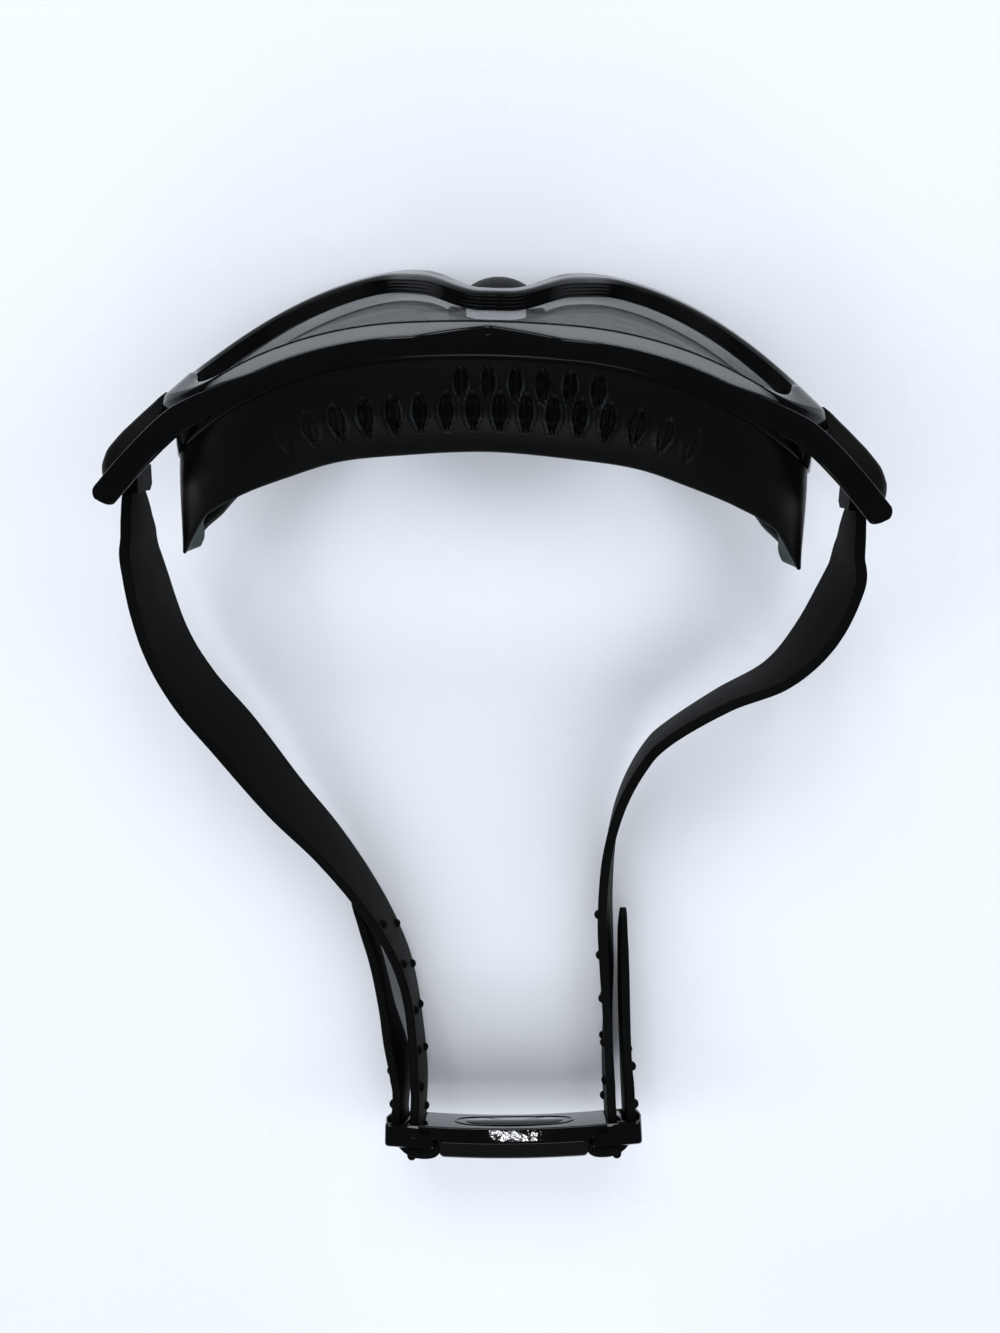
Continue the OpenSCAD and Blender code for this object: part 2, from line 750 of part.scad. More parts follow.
// Width of a tail at a distance s from its tip
tip_w = 7;
tip_len = 30;
function tail_width(s) = s > tip_len ? strap_w : tip_w + (strap_w - tip_w) * sin(90 * s / tip_len);
module tail(c, side) {
  color([0.07, 0.07, 0.075])
    on_table() {
      tube_skin([for (i = [0 : len(c) - 1]) strap_ring(c, i, tail_width(run(c, i)))]);
      for (row = [-nub_row, nub_row])
        nub(c, run(c, len(c) - 1) - nub_start, row, -side);
    }
}
module tail_left() { tail(tail_left_route, -1); }
module tail_right() { tail(tail_right_route, 1); }

lens();
lens_seal();
frame();
lower_rim();
skirt();
nose_bridge();
collar_left();
collar_right();
pivot_pin_left();
pivot_pin_right();
pivot_cover_left();
pivot_cover_right();
strap_left();
strap_right();
clip_body();
clip_inlay();
strap_turn_left();
strap_turn_right();
tail_left();
tail_right();
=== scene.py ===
"""Wide swim goggles: the looks of each piece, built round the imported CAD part."""

import math

import bmesh
import bpy
import numpy as np
from mathutils import Euler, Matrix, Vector


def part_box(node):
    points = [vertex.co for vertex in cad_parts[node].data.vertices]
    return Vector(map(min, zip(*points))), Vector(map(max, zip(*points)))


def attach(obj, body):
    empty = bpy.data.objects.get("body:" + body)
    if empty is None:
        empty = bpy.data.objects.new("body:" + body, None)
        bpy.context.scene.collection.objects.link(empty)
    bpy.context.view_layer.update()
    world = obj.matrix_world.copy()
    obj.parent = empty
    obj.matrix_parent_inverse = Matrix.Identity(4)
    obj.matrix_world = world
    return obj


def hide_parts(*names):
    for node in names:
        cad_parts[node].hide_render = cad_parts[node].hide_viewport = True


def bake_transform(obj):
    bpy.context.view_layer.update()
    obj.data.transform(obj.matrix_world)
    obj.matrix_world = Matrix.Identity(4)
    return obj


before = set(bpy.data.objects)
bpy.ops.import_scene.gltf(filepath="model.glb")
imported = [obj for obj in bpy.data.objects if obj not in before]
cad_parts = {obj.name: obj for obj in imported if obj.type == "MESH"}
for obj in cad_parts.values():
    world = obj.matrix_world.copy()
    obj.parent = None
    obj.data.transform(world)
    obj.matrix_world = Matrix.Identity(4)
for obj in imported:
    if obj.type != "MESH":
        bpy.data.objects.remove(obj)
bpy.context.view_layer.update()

MM = 0.001

# Sizes of the front, in millimetres, as in the part
MIDDLE_R, MIDDLE_HALF, SIDE_R = 220, 16, 87
LEAN = math.radians(13.7)
FOOT, RIM_AHEAD, PIVOT_BACK = 3.45, 0.75, 48.5
LENS_FRONT, LENS_BACK, FRAME_FRONT, FRAME_BACK = 3.9, 6.4, 6.9, 9.5
LENS_EDGE, FRAME_EDGE, LIP_EDGE, LIP_COVER = 3.0, 3.6, 6.5, 1.5
SIGHT = [
    (0, 57), (18, 56.6), (32, 55.5), (44, 53.2), (53.5, 49), (60.2, 43), (63.4, 35.3), (61, 27),
    (54, 17.5), (46, 11.3), (38, 7.8), (31, 6.1), (24.5, 7.4), (17.3, 16), (9, 25.4), (0, 28),
]
FACE = [
    (0, -27.6, 58), (17.3, -28.9, 57.5), (29, -30.7, 56.7), (39.5, -34.6, 55.1), (49, -39, 53),
    (58, -45, 50), (65.1, -55.5, 45), (64.8, -52.5, 37), (59.6, -47.5, 27.5), (52, -42, 18),
    (43, -36.5, 11), (34, -32.5, 6.8), (26, -28.5, 6), (17, -22.5, 12), (9, -17.5, 20.5),
    (0, -15.5, 24),
]

# The pivots' datum line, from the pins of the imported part
pin_low, pin_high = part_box("pivot_pin_right")
DATUM = (pin_low.y + pin_high.y) / 2 / MM + PIVOT_BACK


def spot(x, y, z):
    """A point placed from the pivots' datum line in millimetres, in the row frame."""
    return Vector((x, y + DATUM, z)) * MM


def on_front(x, y, h):
    """A point of the leaning front, in the row frame."""
    ahead = DATUM + RIM_AHEAD + y * math.cos(LEAN) - h * math.sin(LEAN)
    return Vector((x, ahead, FOOT + y * math.sin(LEAN) + h * math.cos(LEAN))) * MM


SIDE_TURN = math.asin(MIDDLE_HALF / MIDDLE_R)
SIDE_X = MIDDLE_HALF - SIDE_R * math.sin(SIDE_TURN)
SIDE_Y = (MIDDLE_R - SIDE_R) * math.cos(SIDE_TURN) - MIDDLE_R


def wrap_y(x, depth):
    """Place of the front's wrapped surface at x from the middle, some depth behind its outside."""
    if abs(x) < (MIDDLE_R - depth) * math.sin(SIDE_TURN):
        return math.sqrt((MIDDLE_R - depth) ** 2 - x * x) - MIDDLE_R
    return SIDE_Y + math.sqrt(max((SIDE_R - depth) ** 2 - (abs(x) - SIDE_X) ** 2, 1))


def ease(t):
    """Smooth step from 0 to 1."""
    t = min(max(t, 0.0), 1.0)
    return t * t * (3 - 2 * t)


def rise(value, start, length):
    """Smooth step from 0 at a start to 1 a length further on."""
    return ease((value - start) / length)


def through(a, b, c, d, t):
    """A point on the smooth curve from b to c."""
    bend, twist = 2 * a - 5 * b + 4 * c - d, 3 * b - a - 3 * c + d
    return 0.5 * (2 * b + (c - a) * t + bend * t * t + twist * t**3)


def open_curve(points, steps):
    """A smooth open curve through points, with so many steps between neighbours."""
    p = [np.array(q, float) for q in points]
    p = [2 * p[0] - p[1]] + p + [2 * p[-1] - p[-2]]
    made = [through(*p[i : i + 4], k / steps) for i in range(len(p) - 3) for k in range(steps)]
    return np.array(made + [p[-2]])


def closed_curve(points, steps):
    """A smooth closed curve through points."""
    p = [np.array(q, float) for q in points]
    m = len(p)
    return np.array([
        through(p[i - 1], p[i], p[(i + 1) % m], p[(i + 2) % m], k / steps)
        for i in range(m)
        for k in range(steps)
    ])


def both_halves(points):
    """A face-wide loop from its right half."""
    return list(points) + [(-p[0],) + tuple(p[1:]) for p in points[-2:0:-1]]


def spread(line, count, closed=False):
    """So many points at even distances along a line."""
    line = np.array(line, float)
    if closed:
        line = np.vstack([line, line[:1]])
    run = np.concatenate([[0], np.cumsum(np.linalg.norm(np.diff(line, axis=0), axis=1))])
    want = np.linspace(0, run[-1], count + 1)[:-1] if closed else np.linspace(0, run[-1], count)
    return np.stack([np.interp(want, run, line[:, j]) for j in range(line.shape[1])], 1)


def outward(loop):
    """Directions out of a closed loop, [across, up]."""
    tangent = np.roll(loop, -1, 0) - np.roll(loop, 1, 0)
    normal = np.stack([-tangent[:, 1], tangent[:, 0]], 1)
    return normal / np.linalg.norm(normal, axis=1)[:, None]


def rounded(corners, steps=4, guard=0.0):
    """A closed outline with rounded corners (x, y, radius); guard adds points next to each rounding."""
    made = []
    m = len(corners)
    for i, (x, y, r) in enumerate(corners):
        here = np.array((x, y), float)
        before = np.array(corners[i - 1][:2], float) - here
        after = np.array(corners[(i + 1) % m][:2], float) - here
        reach = min(r, 0.49 * np.linalg.norm(before), 0.49 * np.linalg.norm(after))
        if reach < 1e-6:
            made.append(here)
            continue
        back, on = before / np.linalg.norm(before), after / np.linalg.norm(after)
        start, end = here + back * reach, here + on * reach
        if guard:
            made.append(start + back * guard)
        for k in range(steps + 1):
            t = k / steps
            made.append((1 - t) ** 2 * start + 2 * t * (1 - t) * here + t * t * end)
        if guard:
            made.append(end + on * guard)
    return np.array(made)


def box_outline(low_x, high_x, low_y, high_y, r, steps=4):
    """A rectangle with rounded corners."""
    return rounded([(low_x, low_y, r), (high_x, low_y, r), (high_x, high_y, r), (low_x, high_y, r)], steps)


def finish_mesh(bm, name, material, sharp=35):
    """An object from a bmesh, faces outward, smooth but for its edges sharper than an angle."""
    bmesh.ops.remove_doubles(bm, verts=bm.verts, dist=1e-7)
    bmesh.ops.recalc_face_normals(bm, faces=bm.faces)
    for face in bm.faces:
        face.smooth = True
    for edge in bm.edges:
        if len(edge.link_faces) == 2 and edge.calc_face_angle(0) > math.radians(sharp):
            edge.smooth = False
    mesh = bpy.data.meshes.new(name)
    bm.to_mesh(mesh)
    bm.free()
    mesh.materials.append(material)
    made = bpy.data.objects.new(name, mesh)
    bpy.context.scene.collection.objects.link(made)
    return made


def skin(bm, rings, closed=False, finishes=None):
    """Adds the surface through closed rings of points; finishes has the finish numbers of some strips."""
    finishes = finishes or {}
    rows = [[bm.verts.new(p) for p in ring] for ring in rings]
    n = len(rows[0])
    pairs = list(zip(rows, rows[1:] + rows[:1])) if closed else list(zip(rows, rows[1:]))
    for a, b in pairs:
        for j in range(n):
            corner = (a[j], a[(j + 1) % n], b[(j + 1) % n], b[j])
            bm.faces.new(corner).material_index = finishes.get(j, 0)
    if not closed:
        bm.faces.new(rows[0])
        bm.faces.new(rows[-1])
    return rows


def loft(name, rings, material, closed=False, sharp=35, finishes=None, others=()):
    """An object from rings of points, with further materials for its numbered strips."""
    bm = bmesh.new()
    skin(bm, rings, closed, finishes)
    made = finish_mesh(bm, name, material, sharp)
    for other in others:
        made.data.materials.append(other)
    return made


# Materials

class Value:
    """A shader value that takes part in ordinary arithmetic."""

    def __init__(self, shader, socket):
        self.shader = shader
        self.socket = socket

    def __add__(self, other):
        return self.shader.maths("ADD", self, other)

    def __mul__(self, other):
        return self.shader.maths("MULTIPLY", self, other)

    def __pow__(self, other):
        return self.shader.maths("POWER", self, other)

    __radd__ = __add__
    __rmul__ = __mul__


class Shader:
    """A procedural material on a principled surface."""

    def __init__(self, name, **constants):
        self.material = bpy.data.materials.new(name)
        self.material.use_nodes = True
        self.tree = self.material.node_tree
        self.surface = self.tree.nodes["Principled BSDF"]
        for key, value in constants.items():
            self.surface.inputs[key.replace("_", " ")].default_value = value
        self.place = Value(self, self.node("ShaderNodeTexCoord").outputs["Object"])

    def node(self, kind, inputs=(), **settings):
        """A node of a kind, with its settings and with values or links for its sockets."""
        made = self.tree.nodes.new(kind)
        for key, value in settings.items():
            setattr(made, key, value)
        for key, value in dict(inputs).items():
            if isinstance(value, Value):
                self.tree.links.new(value.socket, made.inputs[key])
            else:
                made.inputs[key].default_value = value
        return made

    def maths(self, kind, a, b):
        made = self.node("ShaderNodeMath", {0: a, 1: b}, operation=kind)
        return Value(self, made.outputs[0])

    def noise(self, scale, detail=3.0, stretch=(1, 1, 1)):
        """Noise of so many spots a metre, from 0 to 1."""
        moved = self.node("ShaderNodeMapping", {"Vector": self.place, "Scale": stretch})
        inputs = {"Vector": Value(self, moved.outputs[0]), "Scale": scale, "Detail": detail}
        made = self.node("ShaderNodeTexNoise", inputs)
        return Value(self, made.outputs["Fac"])

    def ramp(self, value, low, high):
        """A value's place between low and high, from 0 to 1."""
        made = self.node("ShaderNodeMapRange", {"Value": value, "From Min": low, "From Max": high})
        return Value(self, made.outputs[0])

    def blend_colour(self, share, low, high):
        made = self.node("ShaderNodeMix", {0: share, 6: low, 7: high}, data_type="RGBA")
        return Value(self, made.outputs[2])

    def drive(self, name, value):
        self.tree.links.new(value.socket, self.surface.inputs[name])

    def bump(self, height, distance):
        """Bump of so many metres."""
        made = self.node("ShaderNodeBump", {"Height": height, "Distance": distance})
        self.tree.links.new(made.outputs[0], self.surface.inputs["Normal"])


def grey(value, tint=(1.0, 1.0, 1.0)):
    return (value * tint[0], value * tint[1], value * tint[2], 1.0)


def gloss_plastic(name, shade, rough, scuffed=0.16, ior=1.24, tint=(0.9, 1.0, 1.05)):
    """Moulded black plastic: nearly a mirror, with faint flow marks and handling scuffs."""
    s = Shader(name, Base_Color=grey(shade, tint), Roughness=rough, IOR=ior)
    scuffs = s.noise(260, 5) ** 3
    s.drive("Roughness", scuffs * scuffed + rough)
    s.drive("Base Color", s.blend_colour(s.noise(90), grey(shade * 0.8, tint), grey(shade * 1.3, tint)))
    s.bump(s.noise(700, 2) + s.noise(55, 2) * 3, 0.000006)
    return s.material


def matte_plastic(name, shade, rough):
    """Spark-eroded black plastic with a fine grain."""
    s = Shader(name, Base_Color=grey(shade), Roughness=rough, IOR=1.2)
    s.drive("Roughness", s.noise(1500, 2) * 0.16 + (rough - 0.08))
    s.drive("Base Color", s.blend_colour(s.noise(300), grey(shade * 0.7), grey(shade * 1.3)))
    s.bump(s.noise(4200, 2), 0.00006)
    return s.material


def silicone(name, shade, rough, tint=(0.92, 1.0, 1.0), grain=0.00002, ior=1.25, crests=False):
    """Black silicone rubber: satin and softly cloudy, with a fine grain; its crests may carry a painted
    highlight.
    """
    s = Shader(name, Base_Color=grey(shade, tint), Roughness=rough, IOR=ior)
    s.drive("Roughness", s.noise(120, 4) * 0.14 + (rough - 0.07))
    colour = s.blend_colour(s.noise(35, 4), grey(shade * 0.7, tint), grey(shade * 1.35, tint))
    # Painted highlight: where the crest attribute is high, the colour is lightened to a pale grey, standing
    # in for lamplight caught on the dimples' crests
    if crests:
        crest_highlight = Value(s, s.node("ShaderNodeAttribute", attribute_name="crest").outputs["Fac"])
        patchy = s.ramp(s.noise(230, 2), 0.38, 0.66)
        share = s.ramp(crest_highlight * (patchy * 0.9 + 0.25), 0.12, 1.3)
        colour = s.blend_colour(share, colour, grey(0.034, (0.85, 1.0, 1.08)))
    s.drive("Base Color", colour)
    s.bump(s.noise(3000, 2) + s.noise(180, 3) * 2, grain)
    return s.material


def clear_plastic(name, through, shine):
    """Clear, faintly smoky plastic: it lets a share of the light through and shines at a glance."""
    s = Shader(name, Base_Color=grey(0.75), Roughness=0.05, IOR=1.5)
    s.drive("Roughness", s.noise(140, 4) * 0.06 + 0.03)
    s.bump(s.noise(60, 2), 0.00001)
    clear = s.node("ShaderNodeBsdfTransparent", {"Color": grey(through, (0.985, 0.995, 1.0))})
    gloss = s.node("ShaderNodeFresnel", {"IOR": 1.35})
    share = Value(s, gloss.outputs[0]) * shine + 0.01
    mixed = s.node("ShaderNodeMixShader", {0: share})
    s.tree.links.new(clear.outputs[0], mixed.inputs[1])
    s.tree.links.new(s.surface.outputs[0], mixed.inputs[2])
    s.tree.links.new(mixed.outputs[0], s.tree.nodes["Material Output"].inputs["Surface"])
    return s.material


def painted_glow_edge(name, shade):
    """A lens edge painted a light shade with faint mottling: painted light, standing in for the light seen
    through the clear plastic at its edge.
    """
    s = Shader(name, Base_Color=grey(shade), Roughness=0.4, IOR=1.3)
    low, high = grey(shade * 0.9, (0.97, 1.0, 1.02)), grey(shade * 1.1, (0.95, 1.0, 1.04))
    s.drive("Base Color", s.blend_colour(s.noise(160, 4), low, high))
    s.bump(s.noise(2500, 2), 0.00001)
    return s.material


def blackened_steel(name):
    """Steel under a dull black coat, with fine turning lines."""
    s = Shader(name, Base_Color=grey(0.004), Roughness=0.5, IOR=1.2)
    lines = s.noise(900, 2, (0.05, 1, 1))
    s.drive("Roughness", lines * 0.25 + 0.4)
    s.bump(lines, 0.00002)
    return s.material


FRAME_GLOSS = gloss_plastic("frame_gloss", 0.0018, 0.06)
RIM_GLOSS = gloss_plastic("rim_gloss", 0.002, 0.1)
LINE_BLACK = gloss_plastic("lens_line_black", 0.002, 0.35)
CLIP_GLOSS = gloss_plastic("clip_gloss", 0.0015, 0.012, 0.03, 1.3)
INLAY_GLOSS = gloss_plastic("inlay_gloss", 0.01, 0.03, 0.05, 1.35)
COVER_MATTE = matte_plastic("cover_matte", 0.004, 0.5)
COLLAR_MATTE = matte_plastic("collar_matte", 0.0012, 0.55)
# The skirt's dimple crests carry a painted highlight
SKIRT_SILICONE = silicone("skirt_silicone", 0.0016, 0.36, ior=1.26, crests=True)
LIP_SILICONE = silicone("lip_silicone", 0.05, 0.4, (0.8, 1.05, 1.0))
BRIDGE_SILICONE = silicone("bridge_silicone", 0.008, 0.5)
STRAP_SILICONE = silicone("strap_silicone", 0.003, 0.55, ior=1.1)
SEAL_CLEAR = clear_plastic("seal_clear", 0.97, 0.05)
LENS_CLEAR = clear_plastic("lens_clear", 0.975, 0.2)
# Painted light: the lens's top edge is painted light grey and its foot pale, standing in for the light seen
# through the clear lens
LENS_EDGE_PAINTED_GLOW = painted_glow_edge("lens_edge_painted_glow", 0.17)
LENS_FOOT_PAINTED_LIGHT = painted_glow_edge("lens_foot_painted_light", 0.85)
PIN_STEEL = blackened_steel("pin_steel")


# The front

LOOP_POINTS, SKIRT_POINTS = 440, 900
sight_fine = closed_curve(both_halves(SIGHT), 24)
face_fine = closed_curve(both_halves(FACE), 24)


def both_loops(count):
    """The sight opening's edge, the skirt's rear edge and the opening's outward directions."""
    both = spread(np.hstack([sight_fine, face_fine]), count, closed=True)
    return both[:, :2], both[:, 2:], outward(both[:, :2])


sight, _, sight_out = both_loops(LOOP_POINTS)

# The rim and the lens sit further back at the nose than on the cheeks
NOSE_RECESS, NOSE_NARROW, NOSE_WIDE = 2.4, 3.0, 16.0
# Height from which the step dies out, and over how much
RECESS_FADES = (30, 18)


def nose_recess(x, h):
    """How far the front steps back round the nose arch."""
    across = NOSE_RECESS * (1 - rise(abs(x), NOSE_NARROW, NOSE_WIDE - NOSE_NARROW))
    return across * (1 - rise(h, *RECESS_FADES))


def front_point(i, e, depth):
    """A point at e outside the sight opening's edge, some depth behind the front's outside."""
    x, h = sight[i] + e * sight_out[i]
    return on_front(x, wrap_y(x, depth) - nose_recess(x, h), h)


def replace(piece, *nodes, slot, body="front"):
    """A finished piece rides a body and takes the place of CAD nodes, which are hidden; its slot is not
    used.
    """
    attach(piece, body)
    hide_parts(*nodes)


# The bead round the lens, with its small peak at the top of the nose
PEAK, PEAK_HALF, PEAK_ABOVE, PEAK_POWER = 1.7, 13.5, 40, 0.9
BEAD = rounded([
    (0, FRAME_FRONT, 0.4), (LENS_EDGE + 0.05, FRAME_FRONT, 0.02),
    (LENS_EDGE + 0.1, FRAME_FRONT - 0.6, 0.02), (FRAME_EDGE + 0.1, FRAME_FRONT - 0.6, 0.5),
    (FRAME_EDGE + 1.0, FRAME_FRONT + 0.9, 1.3), (FRAME_EDGE + 1.0, FRAME_FRONT + 3.2, 1.3),
    (FRAME_EDGE - 0.2, FRAME_BACK + 1.3, 0.6), (0, FRAME_BACK, 0.4),
], 6)
# How far the bead reaches over the lens's edge at the temples, and where that sets in, up and across
TEMPLE_COVER, COVER_ABOVE, COVER_BEYOND = 1.8, (33, 6), (42, 14)


def bead_peak(x, h):
    """How far the bead's top comes forward towards its peak."""
    return PEAK * max(0.0, 1 - abs(x) / PEAK_HALF) ** PEAK_POWER if h > PEAK_ABOVE else 0.0


def bead_ring(i):
    """A section of the bead at a point of the sight opening's edge."""
    ring = []
    x0, h0 = sight[i]
    for e, depth in BEAD:
        x, h = sight[i] + e * sight_out[i]
        ahead = bead_peak(x0, h0) * ease((FRAME_BACK + 1 - depth) / 2.5)
        cover = 0.0
        if e > LENS_EDGE + 0.08:
            cover = TEMPLE_COVER * rise(h0, *COVER_ABOVE) * rise(abs(x0), *COVER_BEYOND)
            cover *= ease((FRAME_FRONT + 2 - depth) / 2)
        ring.append(on_front(x, wrap_y(x, depth - cover) - nose_recess(x, h) + ahead, h))
    return ring


# A wing: a bar that grows out of the bead and ends round
WING_T, WING_X, WING_BACK = 3.8, 79.2, 50.6
WING_TURN = math.radians(45)
WING_STATIONS, END_STATIONS = 64, 9
# Share of its thickness that the bar starts with, and the stations over which it grows
WING_THIN, WING_GROWS = 0.72, 30
# How far the bar's upper inner edge swells towards the head, and from which station, over how many
WING_SWELL, SWELL_SETS_IN = 1.5, (8, 20)
# Outer edge of the bar from the bead to its end, [across, ahead of the datum line, top, bottom]
WING_ROUTE = [
    (40, -25.9, 54.8, 52.4), (46.5, -27.2, 53.6, 50.6), (53.4, -29.5, 51.9, 48), (59.4, -31.8, 50.2, 45),
    (63.4, -33.7, 48.9, 42.6), (67.4, -36.5, 47.5, 39.2), (71.3, -39.8, 46.5, 37), (75.8, -44.1, 46, 36.45),
    (80.5, -49.2, 45.95, 36.45),
]


def on_wing(side, s, away, z):
    """A point s along a wing from the middle of its round end, some way off its outer face."""
    along = (math.cos(WING_TURN), -math.sin(WING_TURN))
    off = (math.sin(WING_TURN), math.cos(WING_TURN))
    away += WING_T / 2
    x = WING_X + s * along[0] + away * off[0]
    y = -WING_BACK + s * along[1] + away * off[1]
    return spot(side * x, y, z)


def wing_rings(side):
    """Sections across a wing, which shrink round its end."""
    route = spread(open_curve(WING_ROUTE, 12), WING_STATIONS)
    heading = np.gradient(route[:, :2], axis=0)
    heading /= np.linalg.norm(heading, axis=1)[:, None]
    places = [(p, t, 1.0) for p, t in zip(route, heading)]
    for a in np.linspace(0.15, 1.5, END_STATIONS):
        ahead = WING_T / 2 * math.sin(a)
        end = route[-1].copy()
        end[:2] += heading[-1] * ahead
        places.append((end, heading[-1], math.cos(a)))
    rings = []
    for k, (p, t, share) in enumerate(places):
        middle = WING_T / 2 * (WING_THIN + (1 - WING_THIN) * ease(k / WING_GROWS))
        half = middle * share
        inner = half + WING_SWELL * share * rise(k, *SWELL_SETS_IN)
        off = np.array((-t[1], t[0]))
        low = p[3] + (p[2] - p[3]) * 0.4 * (1 - share)
        outline = rounded([
            (half, low, 0.5), (half, p[2] - 0.1, 0.45), (0.3 * half, p[2] + 0.05, 0.8),
            (-inner, p[2] - 0.35, 1.0), (-0.9 * inner, p[2] - 1.9, 0.8), (-0.45 * half, low, 0.5),
        ])
        ring = []
        for away, z in outline:
            x, y = p[:2] + off * (away - middle)
            ring.append(spot(side * x, y, z))
        rings.append(ring)
    return rings


def build_frame():
    """The bead and both wings in one piece."""
    bm = bmesh.new()
    skin(bm, [bead_ring(i) for i in range(LOOP_POINTS)], closed=True)
    for side in (-1, 1):
        skin(bm, wing_rings(side))
    return finish_mesh(bm, "front_frame", FRAME_GLOSS)


replace(build_frame(), "frame", slot="frame_gloss")


LENS_COLUMNS, LENS_ROWS, LENS_BEVEL = 80, 14, 0.25


def build_lens():
    """The lens in columns from one side to the other, each a closed ring round it."""
    edge = sight + LENS_EDGE * sight_out
    top = edge[edge[:, 1] > edge[np.argmax(edge[:, 0]), 1]]
    low = edge[edge[:, 1] <= edge[np.argmax(edge[:, 0]), 1]]
    top, low = top[np.argsort(top[:, 0])], low[np.argsort(low[:, 0])]
    half = edge[:, 0].max() - 0.05
    rings = []
    rows, bevel = LENS_ROWS, LENS_BEVEL
    for k in range(-LENS_COLUMNS, LENS_COLUMNS + 1):
        x = half * math.sin(math.pi / 2 * k / LENS_COLUMNS)
        h0, h1 = np.interp(x, low[:, 0], low[:, 1]), np.interp(x, top[:, 0], top[:, 1])
        h1 = max(h1, h0 + 3 * bevel)
        ring = []
        for depth, heights in (
            (LENS_FRONT, np.linspace(h0 + bevel, h1 - bevel, rows)),
            (LENS_FRONT + bevel, [h1]), (LENS_BACK - bevel, [h1]),
            (LENS_BACK, np.linspace(h1 - bevel, h0 + bevel, rows)),
            (LENS_BACK - bevel, [h0]), (LENS_FRONT + bevel, [h0]),
        ):
            ring += [on_front(x, wrap_y(x, depth) - nose_recess(x, h), h) for h in heights]
        rings.append(ring)
    # Strip rows takes the top edge's painted light grey, strip 2 * rows + 2 the foot's painted pale
    return loft("lens_shell", rings, LENS_CLEAR, sharp=30, finishes={rows: 1, 2 * rows + 2: 2},
                others=(LENS_EDGE_PAINTED_GLOW, LENS_FOOT_PAINTED_LIGHT))


replace(build_lens(), "lens", slot="lens")


# Thin dark line along the lens's front top corner, above a height, from the left side to the right
LINE_R, LINE_ABOVE = 0.16, 44
line_numbers = [i for i in range(LOOP_POINTS) if sight[i][1] > LINE_ABOVE]
line_numbers.sort(key=lambda i: (i + LOOP_POINTS // 2) % LOOP_POINTS)
line_rings = [
    [front_point(i, LENS_EDGE + LINE_R * math.cos(a) - 0.05, LENS_FRONT + LINE_R * math.sin(a) + 0.05)
     for a in np.linspace(0, 2 * math.pi, 9)[:-1]]
    for i in line_numbers
]
lens_line = loft("lens_line", line_rings, LINE_BLACK)
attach(lens_line, "front")

# Seal between the lens and the bead
seal_rings = [
    [front_point(i, e, d) for e, d in box_outline(1.0, 2.9, LENS_BACK, FRAME_FRONT, 0.15, 2)]
    for i in range(LOOP_POINTS)
]
replace(loft("lens_gasket", seal_rings, SEAL_CLEAR, closed=True), "lens_seal", slot="seal")

# The lower rim: an outer wall, and a ledge over the lens with fine grooves along its top
GROOVE, GROOVE_PITCH = 0.16, 0.72


def ledge_outline():
    """Section of the lower rim: [outside the sight opening's edge, behind the front's outside, radius]."""
    top = []
    for k in range(4):
        d = 1.05 + GROOVE_PITCH * k
        top += [(-LIP_COVER, d, 0.05), (-LIP_COVER + GROOVE, d + 0.12, 0.03),
                (-LIP_COVER + GROOVE, d + 0.3, 0.03), (-LIP_COVER, d + 0.42, 0.05)]
    return rounded(
        [(LIP_EDGE - 0.15, FRAME_BACK, 0.3), (LIP_EDGE, 0.9, 0.35), (LIP_EDGE - 0.9, 0, 0.25),
         (0.1, 0, 0.2), (-LIP_COVER + 0.9, 0.25, 0.15), (-LIP_COVER, 0.85, 0.15)]
        + top
        + [(-LIP_COVER, LENS_FRONT - 0.1, 0.1), (FRAME_EDGE + 0.1, LENS_FRONT - 0.1, 0.05),
           (FRAME_EDGE + 0.1, FRAME_BACK, 0.2)], 3)


LEDGE = ledge_outline()
# The rim runs on round the temples as a wedge, from the full section to a point on the lens's top corner
RIM_TOP, RIM_TAPER, TAPER_BEYOND = 51.0, 12.5, 45
# Shares of its depth and width that the wedge ends with
RIM_END_DEPTH, RIM_END_WIDTH = 0.04, 0.15
# Distance across from which the rim's rear wall draws in, and over how much
WALL_DRAWS_IN = (50, 9)


def rim_ring(i):
    """A section of the lower rim, as much of it as is left at a point of the sight opening's edge."""
    x, h = abs(sight[i][0]), sight[i][1]
    left = ease((RIM_TOP - h) / RIM_TAPER) if x > TAPER_BEYOND else 1.0
    ring = []
    for e, d in LEDGE:
        deep = d
        if d < LENS_FRONT:
            deep = LENS_FRONT + (d - LENS_FRONT) * (RIM_END_DEPTH + (1 - RIM_END_DEPTH) * left)
        elif left <= 0.98:
            deep = LENS_FRONT + (d - LENS_FRONT) * left
        wide = LENS_EDGE + 0.1 + (e - LENS_EDGE - 0.1) * (RIM_END_WIDTH + (1 - RIM_END_WIDTH) * left)
        if e > FRAME_EDGE + 0.2 and d > LENS_FRONT:
            wide = FRAME_EDGE + 0.15 + (wide - FRAME_EDGE - 0.15) * (1 - rise(x, *WALL_DRAWS_IN))
        ring.append(front_point(i, wide, deep))
    return ring


rim_rings = [rim_ring(i) for i in range(LOOP_POINTS) if sight[i][1] <= RIM_TOP]
replace(loft("lower_rim_ledge", rim_rings, RIM_GLOSS, sharp=25), "lower_rim", slot="frame_gloss")


# The soft skirt, with two rows of teardrop dimples over its top
SKIRT_T, EDGE_T, LIP_W, SWELL = 1.8, 1.3, 6.0, 2.0
WALL_STEPS, LIP_STEPS, BACK_STEPS = 46, 6, 5
# Where the lip narrows at the temples, across and up, and where its lobe in the corner sets in
TEMPLE_BEYOND, TEMPLE_ABOVE, LIP_NARROWS = (36, 12), (34, 6), 0.93
LOBE_W, LOBE_BEYOND = 3.2, (58.5, 5.5)
DIMPLE_PITCH = 4.82
LOW_ROW = [-26.7 + DIMPLE_PITCH * k for k in range(-3, 14)]
HIGH_ROW = [-4.7 + DIMPLE_PITCH * k for k in range(6)]
